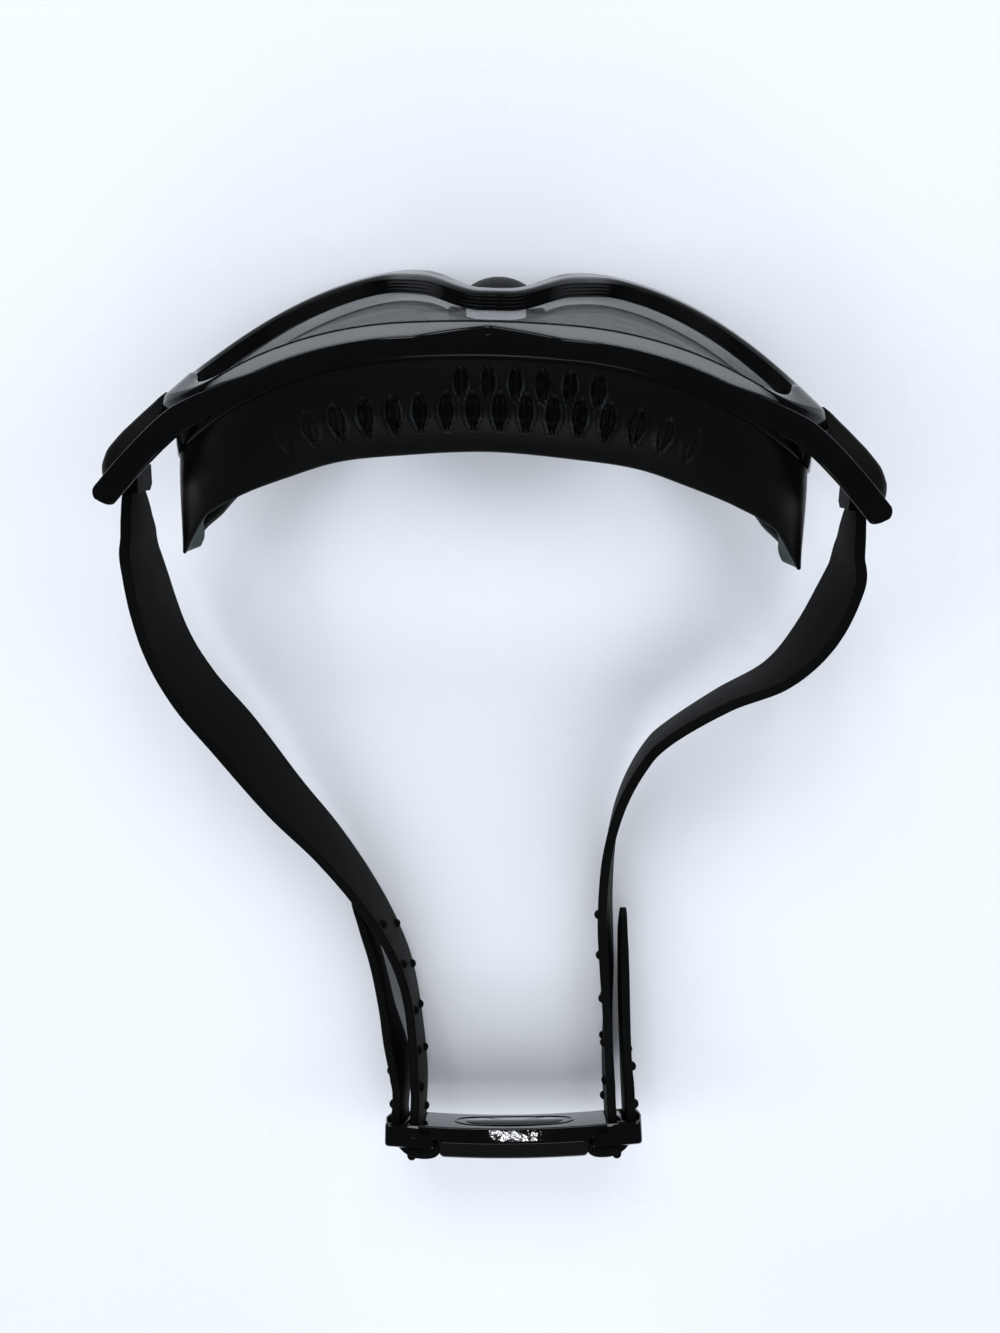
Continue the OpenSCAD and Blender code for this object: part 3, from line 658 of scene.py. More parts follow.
# Each row's places across and share of the way to the rear edge, and its dimples' half width and length
DIMPLE_ROWS = ((LOW_ROW, 0.585, 1.5, 0.225), (HIGH_ROW, 0.3, 1.4, 0.19))
# Distance across from which the dimples fade, and over how much
DIMPLES_FADE = (24, 20)
# Widths of a dimple's raised outline and of the crease down its middle, in its half widths
RIDGE_W, CREASE_W = 0.22, 0.2


def teardrop(x, y):
    """Height of a dimple and the painted highlight of its crests at x across and y along it, in its half
    sizes.
    """
    width = math.sqrt(max(1 - y * y, 0)) if y < 0 else max(1 - y, 0) ** 0.75
    if not -1 < y < 1 or width < 0.02:
        return np.zeros(2)
    edge = abs(x) / max(width, 0.05)
    ridge = math.exp(-((edge - 1) / RIDGE_W) ** 2) * min(width * 2.5, 1)
    hollow = ease((1 - edge) / 0.5) * min(width * 2, 1)
    crease = math.exp(-((x / CREASE_W) ** 2)) * min(width * 2, 1)
    height = 0.3 * ridge - 0.75 * hollow + 0.5 * crease
    # Painted highlight on the raised outline and the crease, held back in the hollow
    pale = ridge * (0.45 + 0.55 * rise(y, -0.6, 1.2)) + 1.1 * crease * rise(y, -0.3, 0.5) - 0.7 * hollow
    return np.array((height, pale))


def dimple_height(x, t):
    """Height and painted highlight of the dimples at x across the skirt and t of the way to its rear edge.
    """
    total = np.zeros(2)
    for row, row_t, half_x, half_t in DIMPLE_ROWS:
        for at in row:
            if abs(x - at) < half_x * 1.4 and abs(t - row_t) < half_t * 1.1:
                fade = 1 - rise(abs(at - 1), *DIMPLES_FADE)
                total += fade * teardrop((x - at) / half_x, (t - row_t) / half_t)
    return total


skirt_sight, skirt_face, skirt_out = both_loops(SKIRT_POINTS)


def skirt_ring(i):
    """A section of the skirt, over its outside to the lip and back, and the painted highlight of its crests.
    """
    n = skirt_out[i]
    out = np.array((n[0], 0, n[1]))
    seat = skirt_sight[i] + (FRAME_EDGE - SKIRT_T) * n
    a = np.array((seat[0], wrap_y(seat[0], FRAME_BACK), seat[1]))
    outer_seat = skirt_sight[i] + FRAME_EDGE * n
    outer_a = np.array((outer_seat[0], wrap_y(outer_seat[0], FRAME_BACK), outer_seat[1]))
    b = skirt_face[i]
    middle = (a + b) / 2 + 2 * SWELL * max(0, n[1]) * out
    wall = [(1 - t) ** 2 * a + 2 * t * (1 - t) * middle + t * t * b for t in np.linspace(0, 1, WALL_STEPS)]
    lip = np.array((-n[0], 0.45, -n[1]))
    lip /= np.linalg.norm(lip)
    temple = rise(abs(b[0]), *TEMPLE_BEYOND) * rise(b[2], *TEMPLE_ABOVE)
    lip_w = LIP_W * (1 - LIP_NARROWS * temple) + LOBE_W * temple * rise(abs(b[0]), *LOBE_BEYOND)
    edge = b + EDGE_T * out
    thin = EDGE_T * (1 - 0.8 * temple)
    inside = edge - thin * out
    ring, marks = [], []
    top = rise(n[1], 0.55, 0.3) if b[2] > 40 else 0.0
    for k, p in enumerate(wall):
        t = k / (WALL_STEPS - 1)
        near = ease(t / 0.12)
        raised = (1 - near) * outer_a + near * (p + SKIRT_T * out)
        dimple = top * dimple_height(b[0], t) if top > 0 else np.zeros(2)
        ring.append(raised + out * dimple[0])
        marks.append(dimple[1])
    ring.append(edge + np.array((0, -0.3, 0)) + 0.25 * out)
    ring.append(edge + np.array((0, -0.25, 0)) - 0.15 * out)
    for share in np.linspace(0.12, 1, LIP_STEPS):
        ring.append(edge + share * (lip_w * lip - thin * out))
    ring.append(inside + lip_w * lip + np.array((0, 0.5, 0)))
    for share in np.linspace(0.9, 0.1, BACK_STEPS):
        ring.append(inside + share * lip_w * lip + np.array((0, 0.8 + 0.4 * (1 - share), 0)))
    for k in range(WALL_STEPS - 4, -1, -3):
        ring.append(wall[k])
    return [on_front(*p) for p in ring], marks


def build_skirt():
    """The skirt, whose points carry the painted highlight of its crests and whose lip has its own finish."""
    bm = bmesh.new()
    # The crest layer holds each point's painted highlight
    crest = bm.verts.layers.float.new("crest")
    sections = [skirt_ring(i) for i in range(SKIRT_POINTS)]
    lip_start = WALL_STEPS + 2
    lip_strips = {j: 1 for j in range(lip_start, lip_start + LIP_STEPS + BACK_STEPS - 1)}
    rows = skin(bm, [ring for ring, marks in sections], closed=True, finishes=lip_strips)
    for row, (ring, marks) in zip(rows, sections):
        for vert, mark in zip(row, marks):
            vert[crest] = mark
    made = finish_mesh(bm, "face_skirt", SKIRT_SILICONE, sharp=60)
    made.data.materials.append(LIP_SILICONE)
    return made


replace(build_skirt(), "skirt", slot="skirt_silicone")


# The soft bridge below the nose arch, with its dome, which is a little wider than high
DOME_WIDE, DOME_R, DOME_Y, DOME_H, DOME_LOW = 1.15, 9.3, -11.2, 6.0, -0.9
DOME_RINGS, DOME_SIDES = 20, 36
BLOCK_HALF, BLOCK_NARROWS, BLOCK_WIDEST, BLOCK_FRONT, BLOCK_R = 12.4, 2.5, 8, -6.5, 1.2


def build_bridge():
    """The dome, cut flat behind and below, and the block that it sits on."""
    bm = bmesh.new()
    rings = []
    for k in range(1, DOME_RINGS):
        polar = math.pi * k / DOME_RINGS
        ring = []
        for j in range(DOME_SIDES):
            turn = 2 * math.pi * j / DOME_SIDES
            x = DOME_WIDE * DOME_R * math.sin(polar) * math.sin(turn)
            h = DOME_H + DOME_R * math.sin(polar) * math.cos(turn)
            y = DOME_Y + DOME_R * math.cos(polar)
            ring.append(on_front(x, max(y, -FRAME_BACK - 0.5 + 0.05 * math.cos(polar)), max(h, DOME_LOW)))
        rings.append(ring)
    skin(bm, rings)
    block = []
    for h in np.linspace(2, 23.5, 9):
        half = BLOCK_HALF - BLOCK_NARROWS * abs(h - BLOCK_WIDEST) / 16
        outline = box_outline(-half, half, -FRAME_BACK, BLOCK_FRONT, BLOCK_R)
        block.append([on_front(x, y, h) for x, y in outline])
    skin(bm, block)
    return finish_mesh(bm, "soft_bridge", BRIDGE_SILICONE)


replace(build_bridge(), "nose_bridge", slot="bridge_silicone")


# Pivot covers: pointed fins on the wings' outer faces
COVER_TIP, COVER_LEN, COVER_Z, COVER_H = 22.4, 24.6, 32.0, 16.0
COVER_OUTER = [(0, 4.6), (2, 5.1), (6.5, 5.4), (12.5, 5.4), (17, 5.1), (21, 4), (23.4, 2.5), (24.5, 1.0)]
COVER_INNER = [(0, 4.2), (2, 2.9), (6.5, 1.6), (9.5, 0.1), (24.6, 0.1)]


def cover_rings(side):
    """Sections across a cover, from its pointed tip to its round end."""
    outer, inner = np.array(COVER_OUTER), np.array(COVER_INNER)
    middle = COVER_LEN - COVER_H / 2
    rings = []
    for s in list(np.linspace(0, 22, 34)) + [22.8, 23.5, 24.0, 24.3, 24.5]:
        half = math.sqrt(max((COVER_H / 2) ** 2 - max(s - middle, 0) ** 2, 0.01))
        share = ease(s / middle)
        low, high = (1 - share) * 2.4 - share * half, (1 - share) * 5 + share * half
        if s > middle:
            low, high = -half, half
        a1 = np.interp(s, outer[:, 0], outer[:, 1])
        a0 = np.interp(s, inner[:, 0], inner[:, 1])
        a1 = max(a1, a0 + 0.25)
        r = min(1.8, (a1 - a0) * 0.6)
        outline = rounded([
            (a0, low, 0.15), (a1, low + r * 0.3, r), (a1 - 0.1, high - r * 0.3, r), (a0, high, 0.15),
        ])
        rings.append([on_wing(side, s - COVER_TIP, a, COVER_Z + z) for a, z in outline])
    return rings


for side, name in ((-1, "left"), (1, "right")):
    replace(loft("pivot_fin_" + name, cover_rings(side), COVER_MATTE, sharp=50),
            "pivot_cover_" + name, slot="cover_matte")

for name in ("collar_left", "collar_right"):
    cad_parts[name].data.materials[0] = COLLAR_MATTE
for name in ("pivot_pin_left", "pivot_pin_right"):
    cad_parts[name].data.materials[0] = PIN_STEEL


# The straps

STRAP_W, STRAP_T = 20.0, 2.3
CLIP_X, CLIP_BACK, CLIP_Z = 9, 215.6, 18
CLIP_TURN, CLIP_LEAN = math.radians(3.4), math.radians(30)
SLOT_IN, SLOT_OUT = 25.6, 30.5
# Routes of the straps' middles: [across, ahead of the datum line, up, twist in degrees]
ROUTE_LEFT = [
    (-78.6, -60, 28.8, 0), (-78.8, -67, 27.4, 1), (-76.2, -85, 22.9, 6), (-70.7, -98, 20.3, 10),
    (-61.8, -111, 17.4, 12), (-51, -127, 14.5, 8), (-40.8, -140, 12.4, 2), (-31.6, -154, 10.75, -3),
    (-24.3, -168, 10.03, -6), (-19.8, -182, 10.7, -5),
]
ROUTE_RIGHT = [
    (78.6, -60, 28.8, 0), (78.6, -67, 27.4, -5), (74.2, -80, 24, -6), (66.8, -90, 22, 0),
    (55.2, -97, 20.5, 6), (43.4, -106, 18.8, 9), (38, -113, 17.4, 9), (33.6, -124, 15.4, 9),
    (31.2, -138, 12.7, 9), (31, -155, 10.7, 9), (32.1, -170, 10.04, 8), (33, -182, 10.7, 6),
]
TAIL_LEFT = [
    (-34.4, -157, 10.4, -9), (-32, -163.5, 10.2, -9), (-29.3, -172, 10.1, -9), (-27, -183, 10.2, -8),
    (-25.2, -193, 10.6, -5),
]
TAIL_RIGHT = [
    (35.8, -157.5, 10.4, 1.5), (36, -163.5, 10.2, 1.5), (36.6, -173, 10.1, 1.5), (37.2, -183, 10.2, 1.5),
    (37.9, -193, 10.6, 1),
]
# Width of a strap at distances from its pivot's eye
NECK = [
    (0, 4.6), (2.3, 5.2), (4.5, 7.4), (7, 10.2), (10, 12.8), (14, 15.4), (18, 17.5), (23, 19.2), (28, 20),
    (400, 20),
]


def clip_point(u, n, v=0):
    """A point of the clip: across it, towards the head and up along its plate, in millimetres."""
    y = n * math.cos(CLIP_LEAN) + v * math.sin(CLIP_LEAN)
    z = v * math.cos(CLIP_LEAN) - n * math.sin(CLIP_LEAN)
    x = CLIP_X + u * math.cos(CLIP_TURN) - y * math.sin(CLIP_TURN)
    return (x, -CLIP_BACK + u * math.sin(CLIP_TURN) + y * math.cos(CLIP_TURN), CLIP_Z + z)


def strap_frames(route, count):
    """Points of a route at even distances, with the directions across the strap and through it."""
    line = spread(open_curve(route, 16), count)
    tangent = np.gradient(line[:, :3], axis=0)
    tangent /= np.linalg.norm(tangent, axis=1)[:, None]
    rest_up = np.array((0, 0, 1.0)) - tangent * tangent[:, 2:3]
    rest_up /= np.linalg.norm(rest_up, axis=1)[:, None]
    side = np.cross(tangent, rest_up)
    turn = np.radians(line[:, 3])[:, None]
    up = rest_up * np.cos(turn) + side * np.sin(turn)
    out = side * np.cos(turn) - rest_up * np.sin(turn)
    step = np.concatenate([[0], np.cumsum(np.linalg.norm(np.diff(line[:, :3], axis=0), axis=1))])
    return line[:, :3], up, out, step


def strap_rings(frames, width_at, tip=0):
    """Sections of a strap, which thins out over a tip of some length at its start."""
    line, up, out, run = frames
    rings = []
    for p, u, o, s in zip(line, up, out, run):
        w = width_at(s) / 2
        t = STRAP_T / 2 * (0.75 + 0.25 * ease(s / tip) if tip else 1)
        outline = box_outline(-t, t, -w, w, 0.55, 3)
        rings.append([spot(*(p + a * o + b * u)) for a, b in outline])
    return rings


def into_clip(u):
    """The last points of a strap, straight into its slot."""
    return [clip_point(u, 13) + (0,), clip_point(u, 1.1) + (0,)]


def eye_start(side):
    """The first points of a strap, from the front of its eye to its neck."""
    return [(side * 78.6, y, z, 0) for y, z in ((-46.1, 30), (-48.5, 30), (-52, 29.8), (-56, 29.3))]


def neck_width(s):
    return float(np.interp(s, [q[0] for q in NECK], [q[1] for q in NECK]))


# Width of a tail's tip, and lengths over which a tail widens and thickens
TIP_W, TIP_LEN, TAPER = 6.5, 30.0, 9.0


def tail_width(s):
    if s < 1.2:
        return TIP_W * (0.75 + 0.25 * s / 1.2)
    return TIP_W + (STRAP_W - TIP_W) * math.sin(math.pi / 2 * min(s / TIP_LEN, 1))


NUB_PITCH, NUB_R, NUB_H = 12.3, 1.2, 1.2
# Heights of the two staggered rows of nubs from the strap's middle
NUB_ROWS = (6.3, -6.3)
# Distance of the first upper nub from each strap's clip end, and from a tail's
STRAP_NUBS, TAIL_NUBS = {-1: 9.3, 1: 11.2}, 3.4


# Nubs: one node tree sets a small peg on each point of a mesh, standing along its out direction
def nub_tree():
    """The node tree, and its inputs' identifiers."""
    tree = bpy.data.node_groups.new("pegs_on_points", "GeometryNodeTree")
    socket = tree.interface.new_socket
    socket("Points", in_out="INPUT", socket_type="NodeSocketGeometry")
    kinds = {"Peg Radius": "Float", "Peg Height": "Float", "Seed": "Int", "Finish": "Material"}
    made = {key: socket(key, in_out="INPUT", socket_type="NodeSocket" + kind) for key, kind in kinds.items()}
    socket("Pegs", in_out="OUTPUT", socket_type="NodeSocketGeometry")
    new, add = tree.nodes.new, tree.links.new
    start, end = new("NodeGroupInput"), new("NodeGroupOutput")
    ball = new("GeometryNodeMeshUVSphere")
    for key, value in (("Segments", 16), ("Rings", 10), ("Radius", 1.0)):
        ball.inputs[key].default_value = value
    size = new("ShaderNodeCombineXYZ")
    for axis, key in (("X", "Peg Radius"), ("Y", "Peg Radius"), ("Z", "Peg Height")):
        add(start.outputs[key], size.inputs[axis])
    vary = new("FunctionNodeRandomValue")
    vary.data_type = "FLOAT"
    vary.inputs[2].default_value, vary.inputs[3].default_value = 0.93, 1.05
    add(start.outputs["Seed"], vary.inputs["Seed"])
    scaled = new("ShaderNodeVectorMath")
    scaled.operation = "SCALE"
    add(size.outputs[0], scaled.inputs[0])
    add(vary.outputs[1], scaled.inputs["Scale"])
    out = new("GeometryNodeInputNamedAttribute")
    out.data_type = "FLOAT_VECTOR"
    out.inputs["Name"].default_value = "out"
    align = new("FunctionNodeAlignRotationToVector")
    align.axis = "Z"
    add(out.outputs["Attribute"], align.inputs["Vector"])
    place = new("GeometryNodeInstanceOnPoints")
    for given, key in (
        (start.outputs["Points"], "Points"), (ball.outputs["Mesh"], "Instance"),
        (align.outputs[0], "Rotation"), (scaled.outputs[0], "Scale"),
    ):
        add(given, place.inputs[key])
    real = new("GeometryNodeRealizeInstances")
    add(place.outputs[0], real.inputs[0])
    coat = new("GeometryNodeSetMaterial")
    add(real.outputs[0], coat.inputs["Geometry"])
    add(start.outputs["Finish"], coat.inputs["Material"])
    add(coat.outputs[0], end.inputs[0])
    return tree, {key: item.identifier for key, item in made.items()}


PEGS, PEG_SOCKETS = nub_tree()


def pegs(name, points, outs):
    """A mesh of small pegs, one at each point, each standing along its own direction."""
    mesh = bpy.data.meshes.new(name + "_points")
    mesh.from_pydata([tuple(p) for p in points], [], [])
    attribute = mesh.attributes.new("out", "FLOAT_VECTOR", "POINT")
    attribute.data.foreach_set("vector", np.array([tuple(o) for o in outs], np.float32).ravel())
    holder = bpy.data.objects.new(name + "_points", mesh)
    bpy.context.scene.collection.objects.link(holder)
    modifier = holder.modifiers.new("pegs", "NODES")
    modifier.node_group = PEGS
    values = {"Peg Radius": NUB_R * MM, "Peg Height": NUB_H * MM, "Seed": 3, "Finish": STRAP_SILICONE}
    for key, value in values.items():
        modifier[PEG_SOCKETS[key]] = value
    bpy.context.view_layer.update()
    graph = bpy.context.evaluated_depsgraph_get()
    baked = bpy.data.meshes.new_from_object(
        holder.evaluated_get(graph), preserve_all_data_layers=True, depsgraph=graph)
    bpy.data.objects.remove(holder)
    baked.name = name
    if not baked.materials:
        baked.materials.append(STRAP_SILICONE)
    for face in baked.polygons:
        face.use_smooth = True
    made = bpy.data.objects.new(name, baked)
    bpy.context.scene.collection.objects.link(made)
    return made


def nub_places(frames, count, inner, first):
    """Points and directions of nubs on one face of a strap, counted back from near its clip end."""
    line, up, out, run = frames
    points, outs = [], []
    for row in NUB_ROWS:
        start = first if row > 0 else first - NUB_PITCH / 2
        for k in range(count):
            i = int(np.argmin(abs(run - (run[-1] - max(start, 1.5) - k * NUB_PITCH))))
            points.append(spot(*(line[i] + row * up[i] + inner * out[i] * (STRAP_T / 2 - 0.1))))
            outs.append(inner * out[i])
    return points, outs


def ease_strap(piece, near, far):
    """A strap piece's transform is baked into its mesh; near and far, places along Y in millimetres, are
    turned into points that are not used.
    """
    spot(0, near, 20)
    spot(0, far, 20)
    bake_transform(piece)


for side, name, route in ((-1, "left", ROUTE_LEFT), (1, "right", ROUTE_RIGHT)):
    frames = strap_frames(eye_start(side) + route + into_clip(side * SLOT_IN), 230)
    strap = loft("head_strap_" + name, strap_rings(frames, neck_width), STRAP_SILICONE)
    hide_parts("strap_" + name)
    ease_strap(strap, -66, -135)
    points, outs = nub_places(frames, 5, side, STRAP_NUBS[side])
    nubs = pegs("strap_nubs_" + name, points, outs)
    ease_strap(nubs, -66, -135)

for side, name, route in ((-1, "left", TAIL_LEFT), (1, "right", TAIL_RIGHT)):
    frames = strap_frames(route + into_clip(side * SLOT_OUT), 70)
    tail = loft("free_tail_" + name, strap_rings(frames, tail_width, TAPER), STRAP_SILICONE)
    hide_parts("tail_" + name)
    ease_strap(tail, -205, -180)
    points, outs = nub_places(frames, 2, -side, TAIL_NUBS)
    nubs = pegs("tail_nubs_" + name, points, outs)
    ease_strap(nubs, -205, -180)


# The clip

CLIP_LEN, CLIP_H, CLIP_T, CLIP_CROWN = 66.2, 25.4, 3.4, 8.0
SLOT_GAP, BAR_W, CROWN_HALF, CLIP_BOW = 0.3, 2.0, 19.5, 1.0
TOP_BEVEL, SIDE_BEVEL, TURN_BACK, RAIL_BACK = 3.6, 5.2, 8.2, 5.6
BAR_R, RAIL_R, CROWN_STATIONS = 0.9, 1.3, 64


def clip_spot(u, n, v):
    """A point of the clip in the row frame; the clip bows a little round the head."""
    return spot(*clip_point(u, n + CLIP_BOW * (u / SLOT_IN) ** 2, v))


def clip_bar(bm, u0, u1, n0, n1, v0, v1, r):
    """A rounded bar of the clip, along its height."""
    outline = box_outline(u0, u1, n0, n1, r)
    heights = [v0, v0 + r * 0.3, v0 + r, v1 - r, v1 - r * 0.3, v1]
    insets = [r, r * 0.3, 0, 0, r * 0.3, r]
    middle = np.array(((u0 + u1) / 2, (n0 + n1) / 2))
    half = np.array(((u1 - u0) / 2, (n1 - n0) / 2))
    rings = []
    for v, inset in zip(heights, insets):
        share = np.maximum(half - inset, 0.02) / half
        rings.append([clip_spot(*(middle + (q - middle) * share), v) for q in outline])
    skin(bm, rings)


def crown_section(u):
    """Side view of the clip's body at a distance u along it: [towards the head, up]."""
    bulge = ease((CROWN_HALF + 0.2 - abs(u)) / 0.9)
    back = CLIP_T + (CLIP_CROWN - CLIP_T) * bulge
    step = CLIP_H / 2 - SIDE_BEVEL * bulge - 0.6 * (1 - bulge)
    top = TOP_BEVEL * bulge + (CLIP_T - 0.8) * (1 - bulge)
    half = CLIP_H / 2
    return rounded([
        (0, half, 0.4), (-top, half, 0.5), (-back, step, 1.1), (-back, -step, 1.1), (-top, -half, 0.5),
        (0, -half, 0.4),
    ], 5, 0.1)


def clip_stretch(side, a, b):
    """A stretch along the clip on one side of its middle, lower end first."""
    return sorted((side * a, side * b))


def build_clip():
    """The crowned plate between the slots, and the bars and rails round them."""
    bm = bmesh.new()
    inner = SLOT_IN - STRAP_T / 2 - SLOT_GAP
    ends = [inner, inner - 0.2, inner - 0.8]
    stations = [-u for u in ends] + list(np.linspace(-21, 21, CROWN_STATIONS)) + ends[::-1]
    skin(bm, [[clip_spot(u, n, v) for n, v in crown_section(u)] for u in stations])
    slot_half = STRAP_W / 2 + SLOT_GAP
    mid = (SLOT_IN + SLOT_OUT) / 2
    rail_in = SLOT_OUT + STRAP_T / 2 + SLOT_GAP
    end = CLIP_LEN / 2
    for side in (-1, 1):
        bar = clip_stretch(side, mid - BAR_W / 2, mid + BAR_W / 2)
        end_rail = clip_stretch(side, rail_in, end)
        long_rail = clip_stretch(side, inner - 4, end - 0.3)
        clip_bar(bm, *bar, -CLIP_T, 0, -slot_half - 1, slot_half + 1, BAR_R)
        clip_bar(bm, *end_rail, -RAIL_BACK - 0.2, 1, 3 - CLIP_H / 2, CLIP_H / 2 - 3, RAIL_R)
        clip_bar(bm, *long_rail, -RAIL_BACK, 0, slot_half, CLIP_H / 2, BAR_R)
        clip_bar(bm, *long_rail, -RAIL_BACK, 0, -CLIP_H / 2, -slot_half, BAR_R)
    return finish_mesh(bm, "clip_plate", CLIP_GLOSS)


replace(build_clip(), "clip_body", slot="clip_gloss", body="clip")


# The oval panel on the clip's head side and the ring line round it: [length, height, towards the head]
PANEL = [(25.9, 10.9, -0.4), (25.9, 10.9, 0.1), (25.5, 10.5, 0.2), (0.4, 0.2, 0.32)]
RING_LINE = [
    (32, 15.4, -0.3), (32, 15.4, 0.12), (31.7, 15.1, 0.2), (31, 14.4, 0.2), (30.7, 14.1, 0.12),
    (30.7, 14.1, -0.3),
]


def oval(length, height, steps=16):
    """A level outline with round ends."""
    r = height / 2
    made = []
    for middle, start in ((length / 2 - r, -90), (r - length / 2, 90)):
        for k in range(steps + 1):
            a = math.radians(start + 180 * k / steps)
            made.append((middle + r * math.cos(a), r * math.sin(a)))
    return made


def build_inlay():
    bm = bmesh.new()
    for levels in (PANEL, RING_LINE):
        skin(bm, [[clip_spot(u, n, v) for u, v in oval(length, height)] for length, height, n in levels])
    return finish_mesh(bm, "clip_oval", INLAY_GLOSS)


replace(build_inlay(), "clip_inlay", slot="inlay_gloss", body="clip")

# A strap's turn behind the clip: its outer and inner sides, [across, towards the head]
LEG = STRAP_T / 2
TURN_OUT = [
    (SLOT_IN - LEG, -CLIP_T), (SLOT_IN - LEG - 1.4, -CLIP_T - 0.4), (SLOT_IN - 5.4, -CLIP_T - 0.6),
    (SLOT_IN - 6.9, -CLIP_T - 2), (SLOT_IN - 6.3, -TURN_BACK + 1.1), (SLOT_IN - 4.2, -TURN_BACK + 0.1),
    (SLOT_IN - 0.6, -TURN_BACK), (SLOT_OUT - 2.7, -TURN_BACK + 0.9), (SLOT_OUT - 0.6, -TURN_BACK + 2.6),
    (SLOT_OUT + LEG, -CLIP_T - 0.6), (SLOT_OUT + LEG, -CLIP_T),
]
TURN_IN = [
    (SLOT_OUT - LEG, -CLIP_T), (SLOT_OUT - LEG - 0.3, -CLIP_T - 0.8), (SLOT_OUT - 3.2, -TURN_BACK + 3),
    (SLOT_IN - 0.8, -TURN_BACK + STRAP_T), (SLOT_IN - 2.6, -TURN_BACK + 2.7),
    (SLOT_IN - 0.4, -CLIP_T - 1.3), (SLOT_IN + LEG, -CLIP_T),
]
turn_outer = [(SLOT_IN - LEG, 1.2)] + [tuple(p) for p in open_curve(TURN_OUT, 5)] + [(SLOT_OUT + LEG, 1.2)]
turn_inner = [(SLOT_OUT - LEG, 1.2)] + [tuple(p) for p in open_curve(TURN_IN, 5)] + [(SLOT_IN + LEG, 1.2)]


def strap_turn(side, name):
    """The turn as a strip between its two sides, rounded at its upper and lower edges."""
    outer = spread(turn_outer, 48)
    inner = spread(turn_inner[::-1], 48)
    rings = []
    for a, b in zip(outer, inner):
        off = (b - a) / np.linalg.norm(b - a)
        ring = []
        for t, v in box_outline(0, np.linalg.norm(b - a), -STRAP_W / 2, STRAP_W / 2, 0.55, 3):
            u, n = a + off * t
            ring.append(clip_spot(side * u, n, v))
        rings.append(ring)
    turn = loft("strap_loop_" + name, rings, STRAP_SILICONE)
    replace(turn, "strap_turn_" + name, slot="strap_silicone", body="clip")
    places = [clip_spot(side * (SLOT_IN + 0.9), -TURN_BACK + 0.1, row) for row in NUB_ROWS]
    back = clip_spot(0, -1, 0) - clip_spot(0, 0, 0)
    nubs = pegs("loop_nubs_" + name, places, [back.normalized()] * 2)
    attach(nubs, "clip")


for side, name in ((-1, "left"), (1, "right")):
    strap_turn(side, name)


# Camera, as the photograph's perspective gives it

CAMERA_AT = (8.39, -36.16, 250)
CAMERA_TURN = (-13.293, 1.782, 1.298)
FOCAL, SENSOR, LONG_SIDE = 1001.0, 36.0, 1333.0
camera = bpy.data.objects.new("camera", bpy.data.cameras.new("camera"))
bpy.context.scene.collection.objects.link(camera)
camera.location = spot(*CAMERA_AT)
camera.rotation_euler = Euler([math.radians(a) for a in CAMERA_TURN], "XYZ")
camera.data.sensor_width = SENSOR
camera.data.lens = FOCAL * SENSOR / LONG_SIDE
camera.data.clip_start = 0.01
bpy.context.scene.camera = camera


# Table and light

TABLE_HALF, TABLE_DROP = 3.0, 0.0003


def glossy_table():
    """White lacquered table: faintly blue, with a soft reflection."""
    s = Shader("white_table", Base_Color=grey(0.8, (0.93, 0.96, 1.0)), Roughness=0.3, IOR=1.3)
    s.drive("Roughness", s.noise(14, 3) * 0.08 + 0.24)
    low, high = grey(0.78, (0.93, 0.965, 1.02)), grey(0.82, (0.94, 0.97, 1.0))
    s.drive("Base Color", s.blend_colour(s.noise(5, 2), low, high))
    return s.material


def build_table():
    bm = bmesh.new()
    for x, y in ((-1, -1), (1, -1), (1, 1), (-1, 1)):
        bm.verts.new((x * TABLE_HALF, y * TABLE_HALF, -TABLE_DROP))
    bm.faces.new(bm.verts)
    mesh = bpy.data.meshes.new("table")
    bm.to_mesh(mesh)
    bm.free()
    mesh.materials.append(glossy_table())
    made = bpy.data.objects.new("table", mesh)
    bpy.context.scene.collection.objects.link(made)


build_table()


COOL = (0.95, 0.97, 1.0)


def soft_lamp(name, place, target, width, depth, watts):
    """A square-edged lamp that looks at a target."""
    lamp = bpy.data.lights.new(name, "AREA")
    lamp.shape = "RECTANGLE"
    lamp.size, lamp.size_y = width, depth
    lamp.energy = watts
    lamp.color = COOL
    made = bpy.data.objects.new(name, lamp)
    bpy.context.scene.collection.objects.link(made)
    made.location = Vector(place)
    made.rotation_euler = (Vector(target) - Vector(place)).to_track_quat("-Z", "Y").to_euler()
    return made


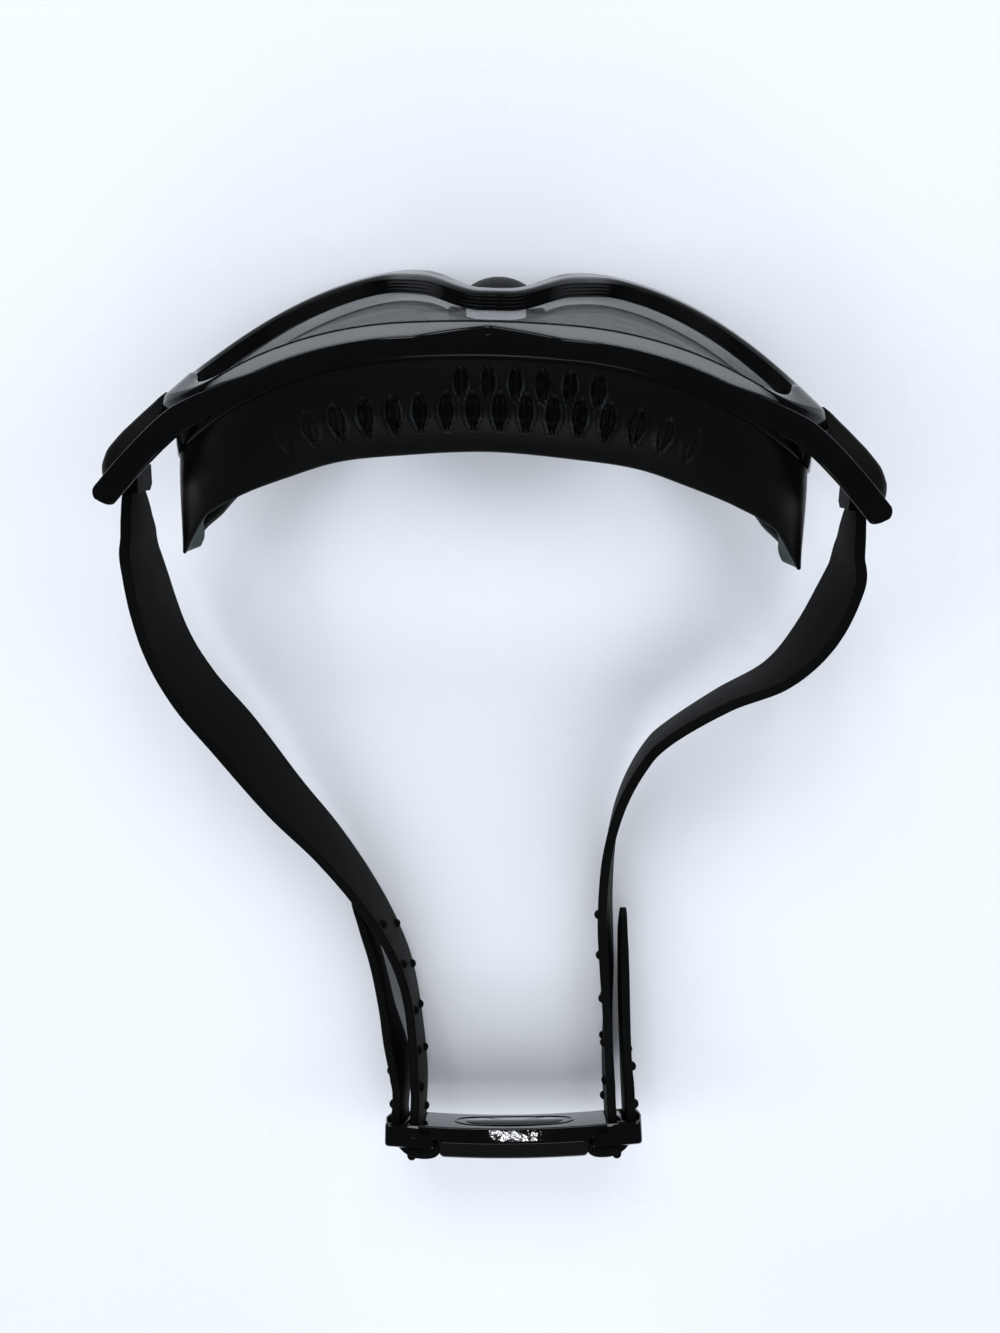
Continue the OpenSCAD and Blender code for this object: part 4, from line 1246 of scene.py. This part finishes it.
WINDOW_DEPTH, WINDOW_WATTS = 0.6, 4.6
for name, across, width in (("window_1", -0.5, 0.18), ("window_2", -0.14, 0.22), ("window_3", 0.3, 0.3)):
    soft_lamp(name, (across, 1.5, 1.0), (0, 0.08, 0), width, WINDOW_DEPTH, WINDOW_WATTS)
for name, place, width, depth, watts in (
    ("fill_above", (0.0, -0.25, 1.5), 2.4, 2.2, 17.5),
    ("fill_left", (-1.5, -0.1, 1.1), 0.7, 0.9, 7),
    ("fill_right", (1.5, 0.1, 1.1), 0.7, 0.9, 6),
):
    fill = soft_lamp(name, place, (0, 0, 0), width, depth, watts)
    fill.visible_glossy = False
# Soft sheen over the skirt's middle
soft_lamp("sheen_behind", (0.0, -1.05, 1.0), (0, 0.06, 0.05), 0.5, 0.3, 1.6)
# Small ceiling lights, which glint in the clip's top: [across, ahead, width]
CEILING_LIGHTS = [
    (-0.088, 0.369, 0.010), (-0.076, 0.361, 0.007), (-0.062, 0.366, 0.012), (-0.048, 0.360, 0.007),
    (-0.034, 0.368, 0.009),
]
CEILING_DEPTH, CEILING_WATTS, CLIP_TOP = 0.008, 0.02, (0.009, -0.1, 0.03)
for k, (across, ahead, width) in enumerate(CEILING_LIGHTS):
    name = "ceiling_light_" + str(k)
    soft_lamp(name, (across, ahead, 1.2), CLIP_TOP, width, CEILING_DEPTH, CEILING_WATTS)

# The room: dim where it is mirrored, pale where it is seen, and a little light of its own
world = bpy.data.worlds.new("room")
world.use_nodes = True
bpy.context.scene.world = world
room = world.node_tree
paths = room.nodes.new("ShaderNodeLightPath")


def sky(colour, strength):
    """A plain sky."""
    made = room.nodes.new("ShaderNodeBackground")
    made.inputs["Color"].default_value = colour + (1.0,)
    made.inputs["Strength"].default_value = strength
    return made.outputs[0]


def sky_for(ray, chosen, other):
    """One sky for a kind of ray, another for the rest."""
    made = room.nodes.new("ShaderNodeMixShader")
    room.links.new(paths.outputs[ray], made.inputs[0])
    room.links.new(other, made.inputs[1])
    room.links.new(chosen, made.inputs[2])
    return made.outputs[0]


light = sky_for("Is Glossy Ray", sky((0.8, 0.9, 1.0), 0.13), sky((0.86, 0.9, 1.0), 0.43))
seen = sky_for("Is Camera Ray", sky((0.86, 0.91, 1.0), 0.9), light)
room.links.new(seen, room.nodes["World Output"].inputs["Surface"])
bpy.context.scene.view_settings.view_transform = "Standard"
